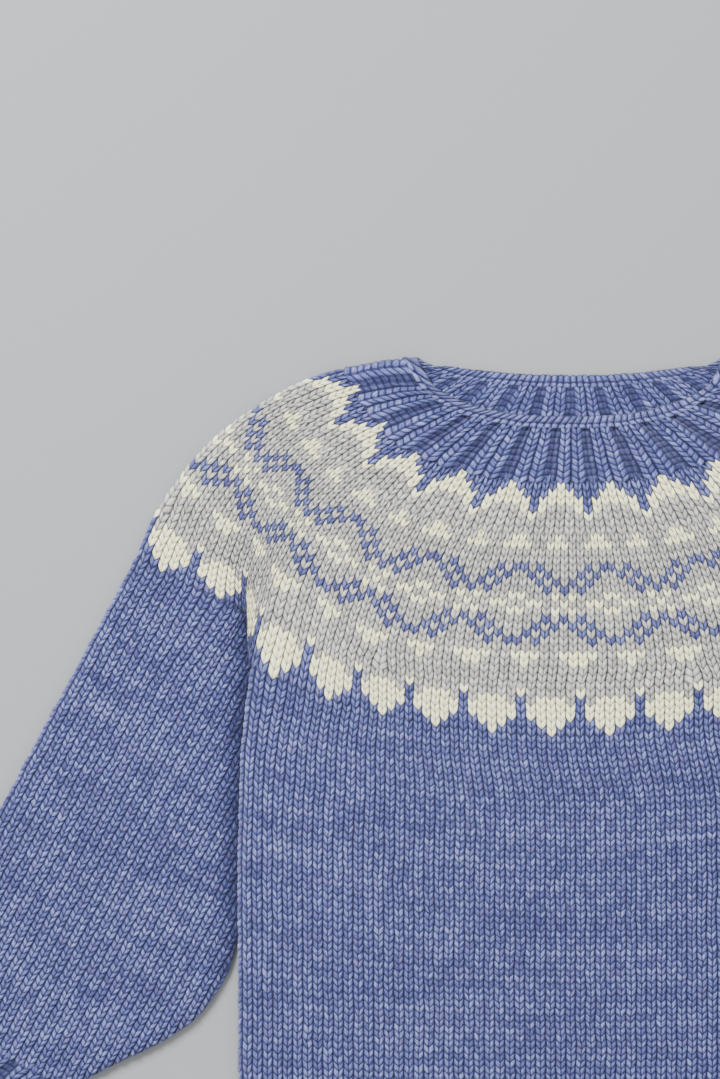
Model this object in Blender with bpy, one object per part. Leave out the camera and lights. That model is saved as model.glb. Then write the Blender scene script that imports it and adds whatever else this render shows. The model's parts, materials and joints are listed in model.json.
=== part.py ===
"""A child's wool sweater with a round patterned yoke, laid flat on its back with the front up.

Every piece is a knitted tube pressed flat, so it has an upper panel and a lower panel that meet in a soft
fold down each side. A piece is built from rows across the tube. Each row has a path for the upper panel and
one for the lower panel, seen from above, and the rows give an outer skin and a plain inner skin.

Metres, +Z up, +X across the chest, +Y towards the neck. The origin is on the surface that the sweater
lies on, under the middle of its outline.
"""

from collections import namedtuple

import bmesh
import bpy
import numpy as np

MM = 0.001

# Thickness of the fabric and how the panels lie
PLAIN_WALL = 2.6 * MM
YOKE_WALL = 2.9 * MM
EDGE_WALL = 2.8 * MM
PANEL_GAP = 0.45 * MM
SEAM_GAP = 0.3 * MM
NECK_SEAM_GAP = 0.8 * MM
BODY_SEAM_GAP = 0.6 * MM
RIB_SEAM_GAP = 0.7 * MM
FOLD_RADIUS = 5.5 * MM
FOLD_SWELL = 0.5 * MM
FOLD_SWELL_REACH = 9.0 * MM
RIB_SWELL = 0.2 * MM
SLEEVE_SWELL = 0.3 * MM

# How finely paths are measured, and the bluntest corner that still shows as an edge
PATH_SAMPLES = 601
BASE_SAMPLES = 801
EDGE_ANGLE = np.radians(50)

# Whole garment
TOP_Y = 204.2 * MM
HEM_Y = -TOP_Y
HEM_RIB_LENGTH = 46.0 * MM
HEM_SECTIONS = ((0.0, 155.0 * MM), (0.25, 152.5 * MM), (1.0, 151.0 * MM))

# Wool
WOOL_ROUGHNESS = 0.95
BLUE_WOOL = (0.125, 0.165, 0.45)
GREY_WOOL = (0.50, 0.50, 0.49)

# Ribs, each two knit columns with a two-column gutter beside it. The flank and the stations round a side
# fold are shares of a rib.
RIB_RELIEF = 0.9 * MM
NECK_RIBS = 12
HEM_RIBS = 17
CUFF_RIBS = 5
RIB_FLANK = 0.27
RIB_FOLD_STATIONS = (0.0, 0.02, 0.07, 0.13)

# Neck: how far down its edge each section lies, its wall, and how far the roll draws its skin in
NECK_EDGE_SECTIONS = (
    (0.0, EDGE_WALL, 0.8 * MM),
    (0.2, EDGE_WALL, 0.2 * MM),
    (0.6, EDGE_WALL, 0.0),
    (1.0, PLAIN_WALL, 0.0),
)
NECK_RIB_SHARES = (0.0, 0.33, 0.67, 1.0)

# Yoke, from the neck edge at level 0 to its last patterned row at level 1. The table is the left half of
# the upper panel, from the side fold at turn 0 to the centre front at turn 0.5. Sizes are in millimetres.
# The two rise columns say how much nearer the neck the lower panel lies.
YOKE_DEPTH = 151.7 * MM
EDGE_END = 0.038
RIB_END = 0.211
YOKE_LEVELS = (0.0, 0.317, 0.543, 1.0)
YOKE_ROWS = (RIB_END, 0.317, 0.43, 0.543, 0.66, 0.78, 0.89, 1.0)
YOKE_THICKENING = 3.0
WALE_COLUMNS = (
    ("turn", "neck_x", "neck_y", "bar_x", "bar_y", "wave_x", "wave_y")
    + ("base_x", "base_y", "neck_rise", "base_rise")
)
WALES = (
    (0.0000, -73.0, 204.2, -125.8, 192.9, -158.7, 173.8, -205.1, 109.0, 0.0, 0.0),
    (0.0556, -63.8, 189.8, -118.4, 178.3, -147.1, 155.8, -180.0, 96.0, 10.0, 0.0),
    (0.1176, -55.1, 184.6, -108.3, 164.1, -133.5, 141.4, -152.4, 81.2, 14.6, 0.0),
    (0.1667, -48.0, 181.8, -98.6, 153.5, -122.7, 130.0, -151.5, 59.6, 16.2, 0.0),
    (0.2059, -42.4, 180.2, -88.8, 146.8, -109.9, 121.3, -133.8, 49.7, 17.4, 6.4),
    (0.2778, -32.0, 177.8, -68.5, 136.7, -86.5, 105.3, -101.3, 38.4, 18.6, 12.7),
    (0.3889, -16.0, 176.2, -33.6, 128.8, -43.8, 95.8, -51.8, 28.3, 19.3, 18.4),
    (0.5000, 0.0, 175.9, 0.0, 127.6, 0.0, 94.0, 0.0, 24.7, 19.3, 20.3),
)

# Where the yoke's columns of faces stand, as turns from the side fold. They are close together round the
# fold and the crease.
YOKE_STATIONS = (
    (0.0, 0.0012, 0.0045, 0.01, 0.017, 0.028, 0.042, 0.056, 0.07, 0.084, 0.096, 0.107, 0.1176)
    + (0.13, 0.142, 0.1545, 0.1667, 0.175, 0.185, 0.195, 0.2059, 0.24, 0.2778, 0.33, 0.3889, 0.445, 0.5)
)

# The turn at which the yoke's base reaches the body's side fold, and the body's stations beside that fold
CORNER_TURN = 0.1725
CORNER_CLEARANCE = 0.002
BODY_FOLD_STATIONS = (0.0013, 0.005)
BODY_SHARES = (0.0, 0.14, 0.36, 0.66, 1.0)

# Crease where the sleeve tucks in beside the body, and the body's side fold below it, in millimetres
SIDE_COLUMNS = ("y", "x")
CREASE = (
    (59.6, -151.5),
    (81.2, -152.4),
    (92.1, -152.7),
    (108.6, -153.5),
    (128.3, -155.4),
    (150.0, -157.0),
)
CREASE_DEPTH = 1.5 * MM
CREASE_STEP = 0.45 * MM
CREASE_STEP_REACH = 3.0
CREASE_HALF_WIDTH = 6.0 * MM
CREASE_STARTS_Y = 138.0 * MM
CREASE_FULL_Y = 92.0 * MM
BODY_SIDE = (
    (-160.0, -156.4),
    (-91.0, -156.8),
    (-27.0, -156.8),
    (9.7, -155.9),
    (36.5, -154.0),
    (58.0, -150.6),
)

# Sleeves, along their outer edge from the end of the yoke
SLEEVE_START = (-205.1 * MM, 109.0 * MM)
SLEEVE_LEAN = np.radians(28.4)
SLEEVE_CLEARANCE = 0.7 * MM
SLEEVE_EDGE_STEPS = 6
SLEEVE_COLUMNS = ("along", "outer_inset", "free_width")
SLEEVE = (
    (0.0, 0.0, 59.3),
    (131.0, 0.0, 126.5),
    (152.0, 0.2, 131.5),
    (170.0, 0.4, 130.0),
    (190.0, 0.8, 121.5),
    (212.0, 1.6, 106.0),
    (235.5, 3.0, 90.0),
)
SLEEVE_ROWS = tuple(size * MM for size in (22, 45, 75, 105, 125, 134, 144, 156, 170, 186, 204, 220))
SLEEVE_LEAVES_BODY = 135.0 * MM
SLEEVE_END = 235.5 * MM
SLEEVE_STATIONS = (0.0, 0.004, 0.015, 0.032, 0.06, 0.1, 0.17, 0.28, 0.4, 0.5)

# Cuffs, in the same columns as the sleeves
CUFF = (
    (235.9, 3.6, 88.0),
    (243.0, 4.8, 83.5),
    (258.0, 5.2, 81.5),
    (281.0, 4.8, 82.0),
)

Row = namedtuple("Row", "upper lower wall swell relief pinch", defaults=(0.0,))


def column(table, columns, name, unit=MM):
    """One named column of a table, as an array."""
    return np.array([line[columns.index(name)] for line in table]) * unit


def smooth_through(at, knots, values):
    """A smooth line through the knots that never overshoots them, read at each place in `at`."""
    step = np.diff(knots)
    slope = np.diff(values) / step
    tangent = np.concatenate(([slope[0]], np.zeros(len(knots) - 2), [slope[-1]]))
    for i in range(1, len(knots) - 1):
        if slope[i - 1] * slope[i] > 0:
            before = 2 * step[i] + step[i - 1]
            after = step[i] + 2 * step[i - 1]
            tangent[i] = (before + after) / (before / slope[i - 1] + after / slope[i])
    at = np.clip(at, knots[0], knots[-1])
    i = np.clip(np.searchsorted(knots, at) - 1, 0, len(step) - 1)
    t = (at - knots[i]) / step[i]
    rise = values[i + 1] - values[i]
    cubic = (tangent[i] + tangent[i + 1]) * step[i] - 2 * rise
    square = 3 * rise - (2 * tangent[i] + tangent[i + 1]) * step[i]
    return values[i] + t * (tangent[i] * step[i] + t * (square + t * cubic))


def whole_turn(name, sign, unit=MM):
    """A column of the wale table from the left fold to the right one: the half table and its mirror."""
    half = column(WALES, WALE_COLUMNS, name, unit)
    return np.concatenate((half, sign * half[-2::-1]))


def wale_point(turn, level, lower=False):
    """Where the knitting column at `turn` lies at `level` down the yoke, seen from above."""
    left = column(WALES, WALE_COLUMNS, "turn", 1.0)
    knots = np.concatenate((left, 1.0 - left[-2::-1]))
    place = np.zeros((len(turn), 2))
    for own, name in zip(YOKE_LEVELS, ("neck", "bar", "wave", "base")):
        share = np.prod([(level - other) / (own - other) for other in YOKE_LEVELS if other != own])
        place[:, 0] += share * smooth_through(turn, knots, whole_turn(name + "_x", -1.0))
        place[:, 1] += share * smooth_through(turn, knots, whole_turn(name + "_y", 1.0))
    if lower:
        neck_rise = smooth_through(turn, knots, whole_turn("neck_rise", 1.0))
        base_rise = smooth_through(turn, knots, whole_turn("base_rise", 1.0))
        place[:, 1] += (1 - level) * neck_rise + level * base_rise
    return place


def side_line(table, y):
    """The x of the crease or of the body's left side fold at each y."""
    return smooth_through(y, column(table, SIDE_COLUMNS, "y"), column(table, SIDE_COLUMNS, "x"))


def crease_relief(place):
    """How far the upper skin dips along the two creases between the body and the sleeves."""
    x = -np.abs(place[:, 0])
    y = place[:, 1]
    line = side_line(CREASE, y)
    strength = np.clip((CREASE_STARTS_Y - y) / (CREASE_STARTS_Y - CREASE_FULL_Y), 0, 1)
    off = (x - line) / CREASE_HALF_WIDTH
    trough = CREASE_DEPTH * np.exp(-(off**2))
    step = CREASE_STEP * np.tanh(off) * np.exp(-np.abs(off) / CREASE_STEP_REACH)
    return strength * (step - trough)


def fold_lift(distance, radius):
    """0 at a side fold, rising in a quarter circle to 1 at `radius` from it."""
    return np.sqrt(np.clip(1 - (1 - np.minimum(distance / radius, 1)) ** 2, 0, 1))


def panel(path, row, stations, upper, inner):
    """One panel of one row as points, from the left fold to the right fold."""
    dense = np.linspace(0, 1, PATH_SAMPLES)
    run = np.concatenate(([0], np.cumsum(np.linalg.norm(np.diff(path(dense), axis=0), axis=1))))
    length = run[-1]
    inset = row.wall - row.pinch if inner else row.pinch
    distance = inset + np.interp(stations, dense, run) * (1 - 2 * inset / length)
    at = np.interp(distance, run, dense)
    place = path(at)
    from_fold = np.minimum(distance, length - distance)
    height = 2 * row.wall + PANEL_GAP
    lift = fold_lift(from_fold - inset, FOLD_RADIUS - inset)
    swell = row.swell * np.exp(-(((from_fold - FOLD_RADIUS) / FOLD_SWELL_REACH) ** 2))
    if not upper:
        face = np.full(len(at), inset)
    elif inner:
        face = height - inset + swell
    else:
        face = height - inset + swell + row.relief(at, place)
    z = height / 2 + (face - height / 2) * lift
    return np.column_stack((place, z))


def ring(row, stations, inner):
    """The closed loop of one row: the upper panel from left to right, then the lower panel back."""
    above = panel(row.upper, row, stations, True, inner)
    below = panel(row.lower, row, stations, False, inner)
    folds = (above[[0, -1]] + below[[0, -1]]) / 2
    return np.vstack((folds[:1], above[1:-1], folds[1:], below[-2:0:-1]))


def add_tube(name, rows, stations, material, side=1):
    """A flattened open tube. `side` is -1 for the mirrored copy on the other side of the garment."""
    stations = np.array(stations)
    mesh = bpy.data.meshes.new(name)
    made = bmesh.new()
    loops = []
    for inner in (False, True):
        for row in rows:
            points = ring(row, stations, inner) * (side, 1, 1)
            loops.append([made.verts.new(point) for point in points])
    outer_loops = loops[: len(rows)]
    inner_loops = loops[len(rows):]
    strips = list(zip(outer_loops, outer_loops[1:])) + list(zip(inner_loops, inner_loops[1:]))
    strips += [(outer_loops[0], inner_loops[0]), (outer_loops[-1], inner_loops[-1])]
    for near, far in strips:
        for i in range(len(near)):
            after = (i + 1) % len(near)
            made.faces.new((near[i], near[after], far[after]))
            made.faces.new((near[i], far[after], far[i]))
    bmesh.ops.recalc_face_normals(made, faces=made.faces)
    made.to_mesh(mesh)
    made.free()
    mesh.shade_smooth()
    mesh.set_sharp_from_angle(angle=EDGE_ANGLE)
    mesh.materials.append(material)
    piece = bpy.data.objects.new(name, mesh)
    bpy.context.scene.collection.objects.link(piece)
    return piece


def both_ends(half):
    """Stations over a whole panel from those of its left half, which end at 0.5."""
    return list(half) + [1 - at for at in half[-2::-1]]


def rib_stations(count):
    """Stations at the top, flanks and gutter of every rib, and a few round each fold."""
    beside_fold = [share / count for share in RIB_FOLD_STATIONS]
    inside = list(beside_fold)
    for rib in range(count):
        for offset in (0.5 - RIB_FLANK, 0.5, 0.5 + RIB_FLANK):
            inside.append((rib + offset) / count)
        if rib < count - 1:
            inside.append((rib + 1) / count)
    return inside + [1 - at for at in reversed(beside_fold)]


def rib_relief(count):
    """Height of the ribs over a flat wall: the gutters dip as far as the knit columns rise."""

    def relief(at, place):
        phase = np.abs((at * count) % 1 - 0.5)
        rounded = np.clip(phase / RIB_FLANK, 0, 1)
        return RIB_RELIEF * (np.sin(rounded * np.pi / 2) - 0.5)

    return relief


def no_relief(at, place):
    """A plain skin."""
    return np.zeros(len(at))


def yoke_row(level, wall, relief, swell=FOLD_SWELL, pinch=0.0):
    """A row that follows the yoke's round at one level below the neck edge."""

    def upper(turn):
        return wale_point(turn, level)

    def lower(turn):
        return wale_point(turn, level, lower=True)

    return Row(upper, lower, wall, swell, relief, pinch)


def build_neck_edge(material):
    """The narrow rolled edge at the top of the neck, thickest halfway across."""
    rows = []
    for share, wall, pinch in NECK_EDGE_SECTIONS:
        rows.append(yoke_row(share * EDGE_END, wall, no_relief, RIB_SWELL, pinch))
    return add_tube("neck_edge", rows, rib_stations(NECK_RIBS), material)


def build_neck_rib(material):
    """The ribbed neck between its edge and the yoke."""
    first = EDGE_END + NECK_SEAM_GAP / YOKE_DEPTH
    last = RIB_END - RIB_SEAM_GAP / YOKE_DEPTH
    rows = []
    for share in NECK_RIB_SHARES:
        rows.append(yoke_row(first + share * (last - first), PLAIN_WALL, rib_relief(NECK_RIBS), RIB_SWELL))
    return add_tube("neck_rib", rows, rib_stations(NECK_RIBS), material)


def build_yoke(material):
    """The patterned yoke, thickest across its two-colour rows, with a crease beside each sleeve."""

    def creased(at, place):
        return crease_relief(place)

    rows = []
    for level in YOKE_ROWS:
        middle = 1 - abs(2 * (level - RIB_END) / (1 - RIB_END) - 1)
        wall = PLAIN_WALL + (YOKE_WALL - PLAIN_WALL) * min(1, YOKE_THICKENING * middle)
        rows.append(yoke_row(level, wall, creased))
    return add_tube("yoke", rows, both_ends(YOKE_STATIONS), material)


def body_row(share, relief):
    """A row of the body, `share` of the way from the yoke's base to the hem ribbing."""
    hem_top = HEM_Y + HEM_RIB_LENGTH
    turns = np.linspace(CORNER_TURN, 1 - CORNER_TURN, BASE_SAMPLES)
    corner_x, corner_y = wale_point(turns, 1.0)[0]
    side = side_line(BODY_SIDE, np.array([(1 - share) * corner_y + share * hem_top]))[0]

    def path(at, lower):
        base = wale_point(turns, 1.0, lower)
        base_y = np.interp((1 - 2 * at) * corner_x, base[:, 0], base[:, 1])
        y = (1 - share) * (base_y - BODY_SEAM_GAP) + share * hem_top
        return np.column_stack(((1 - 2 * at) * side, y))

    return Row(lambda at: path(at, False), lambda at: path(at, True), PLAIN_WALL, FOLD_SWELL, relief)


def body_stations():
    """A few stations round the side fold, then the yoke's own columns, so that the two rims match."""
    inside = [turn for turn in YOKE_STATIONS if turn > CORNER_TURN + CORNER_CLEARANCE]
    turns = np.array([CORNER_TURN, *inside])
    base_x = wale_point(turns, 1.0)[:, 0]
    across = (1 - base_x / base_x[0]) / 2
    return both_ends(sorted([*BODY_FOLD_STATIONS, *across]))


def build_body(material):
    """The plain tube below the yoke."""
    rows = [body_row(share, no_relief) for share in BODY_SHARES]
    return add_tube("body", rows, body_stations(), material)


def build_hem_rib(material):
    """The ribbed hem, drawn in a little."""
    top = HEM_Y + HEM_RIB_LENGTH - SEAM_GAP
    relief = rib_relief(HEM_RIBS)
    rows = []
    for share, half_width in HEM_SECTIONS:
        y = top + share * (HEM_Y - top)

        def path(at, y=y, half_width=half_width):
            return np.column_stack(((2 * at - 1) * half_width, np.full(len(at), y)))

        rows.append(Row(path, path, PLAIN_WALL, RIB_SWELL, relief))
    return add_tube("hem_rib", rows, rib_stations(HEM_RIBS), material)


def sleeve_row(along, outer_inset, width, relief):
    """A row straight across a sleeve, `along` its outer edge from the yoke."""
    down = np.array((-np.sin(SLEEVE_LEAN), -np.cos(SLEEVE_LEAN)))
    across = np.array((np.cos(SLEEVE_LEAN), -np.sin(SLEEVE_LEAN)))
    start = np.array(SLEEVE_START) + along * down
    if along < SLEEVE_LEAVES_BODY:
        for _ in range(SLEEVE_EDGE_STEPS):
            end = start + width * across
            edge = crease_edge(end[1]) - SLEEVE_CLEARANCE
            width = (edge - start[0]) / across[0]

    def path(at):
        reach = outer_inset + at * (width - outer_inset)
        return start + reach[:, None] * across

    return Row(path, path, PLAIN_WALL, SLEEVE_SWELL, relief)


def crease_edge(y):
    """The x of the crease beside the yoke, or of the body's side fold below it."""
    corner = CREASE[0][0] * MM
    table = CREASE if y > corner else BODY_SIDE
    return side_line(table, np.array([y]))[0]


def build_sleeve(name, side, material):
    """A plain sleeve, pressed flat beside the body and free of it lower down."""
    knots = column(SLEEVE, SLEEVE_COLUMNS, "along")
    insets = column(SLEEVE, SLEEVE_COLUMNS, "outer_inset")
    widths = column(SLEEVE, SLEEVE_COLUMNS, "free_width")
    rows = []
    for along in (SEAM_GAP, *SLEEVE_ROWS, SLEEVE_END):
        inset = smooth_through(np.array([along]), knots, insets)[0]
        width = smooth_through(np.array([along]), knots, widths)[0]
        rows.append(sleeve_row(along, inset, width, no_relief))
    return add_tube(name, rows, both_ends(SLEEVE_STATIONS), material, side)


def build_cuff(name, side, material):
    """A ribbed cuff."""
    relief = rib_relief(CUFF_RIBS)
    rows = [sleeve_row(*(size * MM for size in line), relief) for line in CUFF]
    return add_tube(name, rows, rib_stations(CUFF_RIBS), material, side)


def wool(name, colour):
    """A matt wool yarn."""
    material = bpy.data.materials.new(name)
    material.use_nodes = True
    shader = material.node_tree.nodes["Principled BSDF"]
    shader.inputs["Base Color"].default_value = (*colour, 1.0)
    shader.inputs["Roughness"].default_value = WOOL_ROUGHNESS
    shader.inputs["Metallic"].default_value = 0.0
    material.diffuse_color = (*colour, 1.0)
    return material


def main():
    """Builds the sweater from the neck down."""
    for old in list(bpy.data.objects):
        bpy.data.objects.remove(old)
    blue = wool("blue_wool", BLUE_WOOL)
    grey = wool("grey_wool", GREY_WOOL)
    build_neck_edge(blue)
    build_neck_rib(blue)
    build_yoke(grey)
    build_body(blue)
    build_hem_rib(blue)
    for name, side in (("left", 1), ("right", -1)):
        build_sleeve("sleeve_" + name, side, blue)
        build_cuff("cuff_" + name, side, blue)


main()
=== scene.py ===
"""The looks of a child's hand-knitted wool sweater with a round patterned yoke, laid flat with its front up.

Every piece is a knitted tube pressed flat. Its upper side is made stitch by stitch: each stitch is a V of two
plump legs, and the rows of stitches follow the same paths as the solid that the piece replaces. A place on a
tube has a turn, from 0 at the left fold over the upper panel to 1 at the right fold and on under the lower
panel to 2, and a share, from 0 at its upper rim to 1 at its lower one.

Metres, +Z up, +X across the chest, +Y towards the neck.
"""

import json
import logging
import math
from collections.abc import Callable
from dataclasses import dataclass, field
from enum import Enum
from typing import NamedTuple

import bmesh
import bpy
import numpy as np
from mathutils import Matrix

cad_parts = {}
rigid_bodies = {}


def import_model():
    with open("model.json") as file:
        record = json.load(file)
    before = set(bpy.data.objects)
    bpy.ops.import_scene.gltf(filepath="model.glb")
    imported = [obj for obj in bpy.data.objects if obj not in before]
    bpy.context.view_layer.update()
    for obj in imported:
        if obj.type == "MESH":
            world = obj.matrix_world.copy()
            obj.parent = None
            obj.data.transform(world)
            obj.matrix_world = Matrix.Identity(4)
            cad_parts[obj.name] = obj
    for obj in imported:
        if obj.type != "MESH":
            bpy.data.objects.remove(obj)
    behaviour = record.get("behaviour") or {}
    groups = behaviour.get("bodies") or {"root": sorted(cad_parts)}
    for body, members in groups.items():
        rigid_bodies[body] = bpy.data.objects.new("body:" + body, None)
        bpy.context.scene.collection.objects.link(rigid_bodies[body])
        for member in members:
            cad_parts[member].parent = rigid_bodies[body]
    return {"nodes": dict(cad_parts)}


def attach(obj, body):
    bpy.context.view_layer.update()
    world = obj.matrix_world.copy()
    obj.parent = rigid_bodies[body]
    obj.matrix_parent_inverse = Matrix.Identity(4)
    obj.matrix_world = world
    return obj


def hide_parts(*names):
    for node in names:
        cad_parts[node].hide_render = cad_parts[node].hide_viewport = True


MM = 0.001
BAKE_MAP = "OFBake"
STITCH_MAP = "Stitches"
LOFT = "loft"
TINY = 1e-12

log = logging.getLogger("sweater")

Array = np.ndarray
Colour = tuple[float, float, float]
Path = Callable[[Array, Array, Array], Array]
Relief = Callable[[Array, Array, Array], Array]
Drifting = Callable[[Array, Array], Array]
Shading = Callable[[Array], Array]
Charting = Callable[[Array, Array], Array]


class Yarn(Enum):
    """The three yarns, by their place in a piece's list of materials."""

    BLUE = 0
    GREY = 1
    CREAM = 2


LETTERS = {"B": Yarn.BLUE, "G": Yarn.GREY, "W": Yarn.CREAM}


class Stitch(Enum):
    """How a column of stitches shows on the outside."""

    KNIT = "knit"
    PURL = "purl"


class Draw(Enum):
    """The slow changes over a piece, by how far the random draw of each is from the piece's own."""

    WANDER = 5
    SIDEWAYS = 6
    ENDWAYS = 7
    BILLOW = 9


# Shader maths


class Value:
    """A number that varies over a surface, worked on with ordinary operators."""

    def __init__(self, bench: "Bench", socket: bpy.types.NodeSocket) -> None:
        """Wraps one output socket.

        Args:
            bench: where the nodes of this material are made.
            socket: the output that gives the number.
        """
        self.bench = bench
        self.socket = socket

    def _math(self, operation: str, first: "Value | float", second: "Value | float" = 0.0) -> "Value":
        """One Math node.

        Args:
            operation: the node's operation.
            first: its first input, a Value or a number.
            second: its second input, a Value or a number.

        Returns:
            The result.
        """
        node = self.bench.node("ShaderNodeMath", {"operation": operation}, {0: first, 1: second})
        return Value(self.bench, node.outputs[0])

    def __add__(self, other: "Value | float") -> "Value":
        """Sum."""
        return self._math("ADD", self, other)

    def __sub__(self, other: "Value | float") -> "Value":
        """Difference."""
        return self._math("SUBTRACT", self, other)

    def __rsub__(self, other: "Value | float") -> "Value":
        """Difference with a number on the left."""
        return self._math("SUBTRACT", other, self)

    def __mul__(self, other: "Value | float") -> "Value":
        """Product."""
        return self._math("MULTIPLY", self, other)

    def __rmul__(self, other: "Value | float") -> "Value":
        """Product with a number on the left."""
        return self._math("MULTIPLY", other, self)

    def __abs__(self) -> "Value":
        """Size without sign."""
        return self._math("ABSOLUTE", self)

    def floor(self) -> "Value":
        """The whole number below."""
        return self._math("FLOOR", self)

    def fraction(self) -> "Value":
        """What is left over the whole number below."""
        return self._math("FRACT", self)

    def step(self, low: float, high: float) -> "Value":
        """A soft step.

        Args:
            low: where the step starts.
            high: where it ends.

        Returns:
            0 below `low`, 1 above `high`, and a smooth rise between them.
        """
        node = self.bench.node(
            "ShaderNodeMapRange",
            {"interpolation_type": "SMOOTHSTEP"},
            {"Value": self, "From Min": low, "From Max": high},
        )
        return Value(self.bench, node.outputs["Result"])


Input = Value | bpy.types.NodeSocket | float | tuple


class Bench:
    """Makes the nodes of one material."""

    def __init__(self, material: bpy.types.Material) -> None:
        """Takes the material's tree.

        Args:
            material: a material that uses nodes.
        """
        self.tree = material.node_tree

    def node(self, kind: str, settings: dict[str, object], inputs: dict[str | int, Input]) -> bpy.types.Node:
        """Makes one node.

        Args:
            kind: the node's type.
            settings: its settings, which are set first.
            inputs: a value, Value or socket for each input by name or number.

        Returns:
            The node.
        """
        made = self.tree.nodes.new(kind)
        for name, value in settings.items():
            setattr(made, name, value)
        for name, value in inputs.items():
            self.feed(made.inputs[name], value)
        return made

    def feed(self, socket: bpy.types.NodeSocket, value: Input) -> None:
        """Sets or links one input.

        Args:
            socket: the input.
            value: a number, a colour, a Value or an output socket.
        """
        if isinstance(value, Value):
            value = value.socket
        if isinstance(value, bpy.types.NodeSocket):
            self.tree.links.new(value, socket)
        else:
            socket.default_value = value

    def vector(self, x: Input, y: Input, z: Input) -> bpy.types.NodeSocket:
        """Three numbers as a vector.

        Args:
            x: first number.
            y: second number.
            z: third number.

        Returns:
            The vector's socket.
        """
        return self.node("ShaderNodeCombineXYZ", {}, {0: x, 1: y, 2: z}).outputs[0]

    def noise(self, place: bpy.types.NodeSocket, scale: float, detail: float) -> Value:
        """Smooth noise.

        Args:
            place: the vector that it is read at.
            scale: how many times it changes in a unit of that vector.
            detail: how many finer layers it has.

        Returns:
            The noise, about 0.5 on average.
        """
        node = self.node("ShaderNodeTexNoise", {}, {"Vector": place, "Scale": scale, "Detail": detail})
        return Value(self, node.outputs[0])

    def speckle(self, place: bpy.types.NodeSocket) -> Value:
        """A random number for each different place.

        Args:
            place: the vector that it is read at.

        Returns:
            A number from 0 to 1.
        """
        node = self.node("ShaderNodeTexWhiteNoise", {"noise_dimensions": "3D"}, {"Vector": place})
        return Value(self, node.outputs["Value"])

    def mix(self, factor: Input, first: Input, second: Input, blend: str = "MIX") -> bpy.types.NodeSocket:
        """Mixes two colours.

        Args:
            factor: how much of the second.
            first: a colour or its socket.
            second: a colour or its socket.
            blend: the blend mode.

        Returns:
            The mixed colour's socket.
        """
        # The colours of a Mix node are its inputs 6 and 7 and its output 2.
        settings = {"data_type": "RGBA", "blend_type": blend}
        return self.node("ShaderNodeMix", settings, {0: factor, 6: first, 7: second}).outputs[2]


def opaque(colour: Colour) -> tuple[float, float, float, float]:
    """A colour that lets nothing through."""
    return (*colour, 1.0)


class StitchPlace:
    """Where the points of a material lie among the stitches, and on the leg of their own stitch."""

    leg_layer: float = 3.0

    def __init__(self, bench: Bench) -> None:
        """Reads the stitch map.

        Args:
            bench: the material's bench.
        """
        self.bench = bench
        place = bench.node("ShaderNodeUVMap", {"uv_map": STITCH_MAP}, {}).outputs[0]
        split = bench.node("ShaderNodeSeparateXYZ", {}, {0: place})
        self.column = Value(bench, split.outputs[0])
        self.row = Value(bench, split.outputs[1])
        reach = abs(2.0 * self.column.fraction() - 1.0)
        fall = self.row.fraction()
        self.across = reach + fall
        self.along = reach - fall
        self.leg = bench.speckle(bench.vector((2.0 * self.column).floor(), self.row.floor(), self.leg_layer))


@dataclass(frozen=True)
class Grain:
    """Noise that follows the fibres of each leg: how fast it changes each way, and how fine it is."""

    across: float
    along: float
    scale: float
    detail: float
    leg_shift: float
    twist: float = 0.0
    row_shift: float = 0.0

    def read(self, place: StitchPlace, layer: Value) -> Value:
        """Reads the noise.

        Args:
            place: where the points lie.
            layer: a number that changes from stitch to stitch.

        Returns:
            The noise.
        """
        x = place.across * self.across + place.along * self.twist + place.leg * self.leg_shift
        y = place.along * self.along + place.row.floor() * self.row_shift
        return place.bench.noise(place.bench.vector(x, y, layer), self.scale, self.detail)


@dataclass(frozen=True)
class Heather:
    """Noise over whole stitches: how fast it changes from column to column and from row to row."""

    by_column: float
    by_row: float
    layer: float
    detail: float = 1.0

    def read(self, place: StitchPlace, row: Value) -> Value:
        """Reads the noise.

        Args:
            place: where the points lie.
            row: their rows, whole for noise that keeps to one row.

        Returns:
            The noise.
        """
        at = place.bench.vector(place.column * self.by_column, row * self.by_row, self.layer)
        return place.bench.noise(at, 1.0, self.detail)


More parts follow.
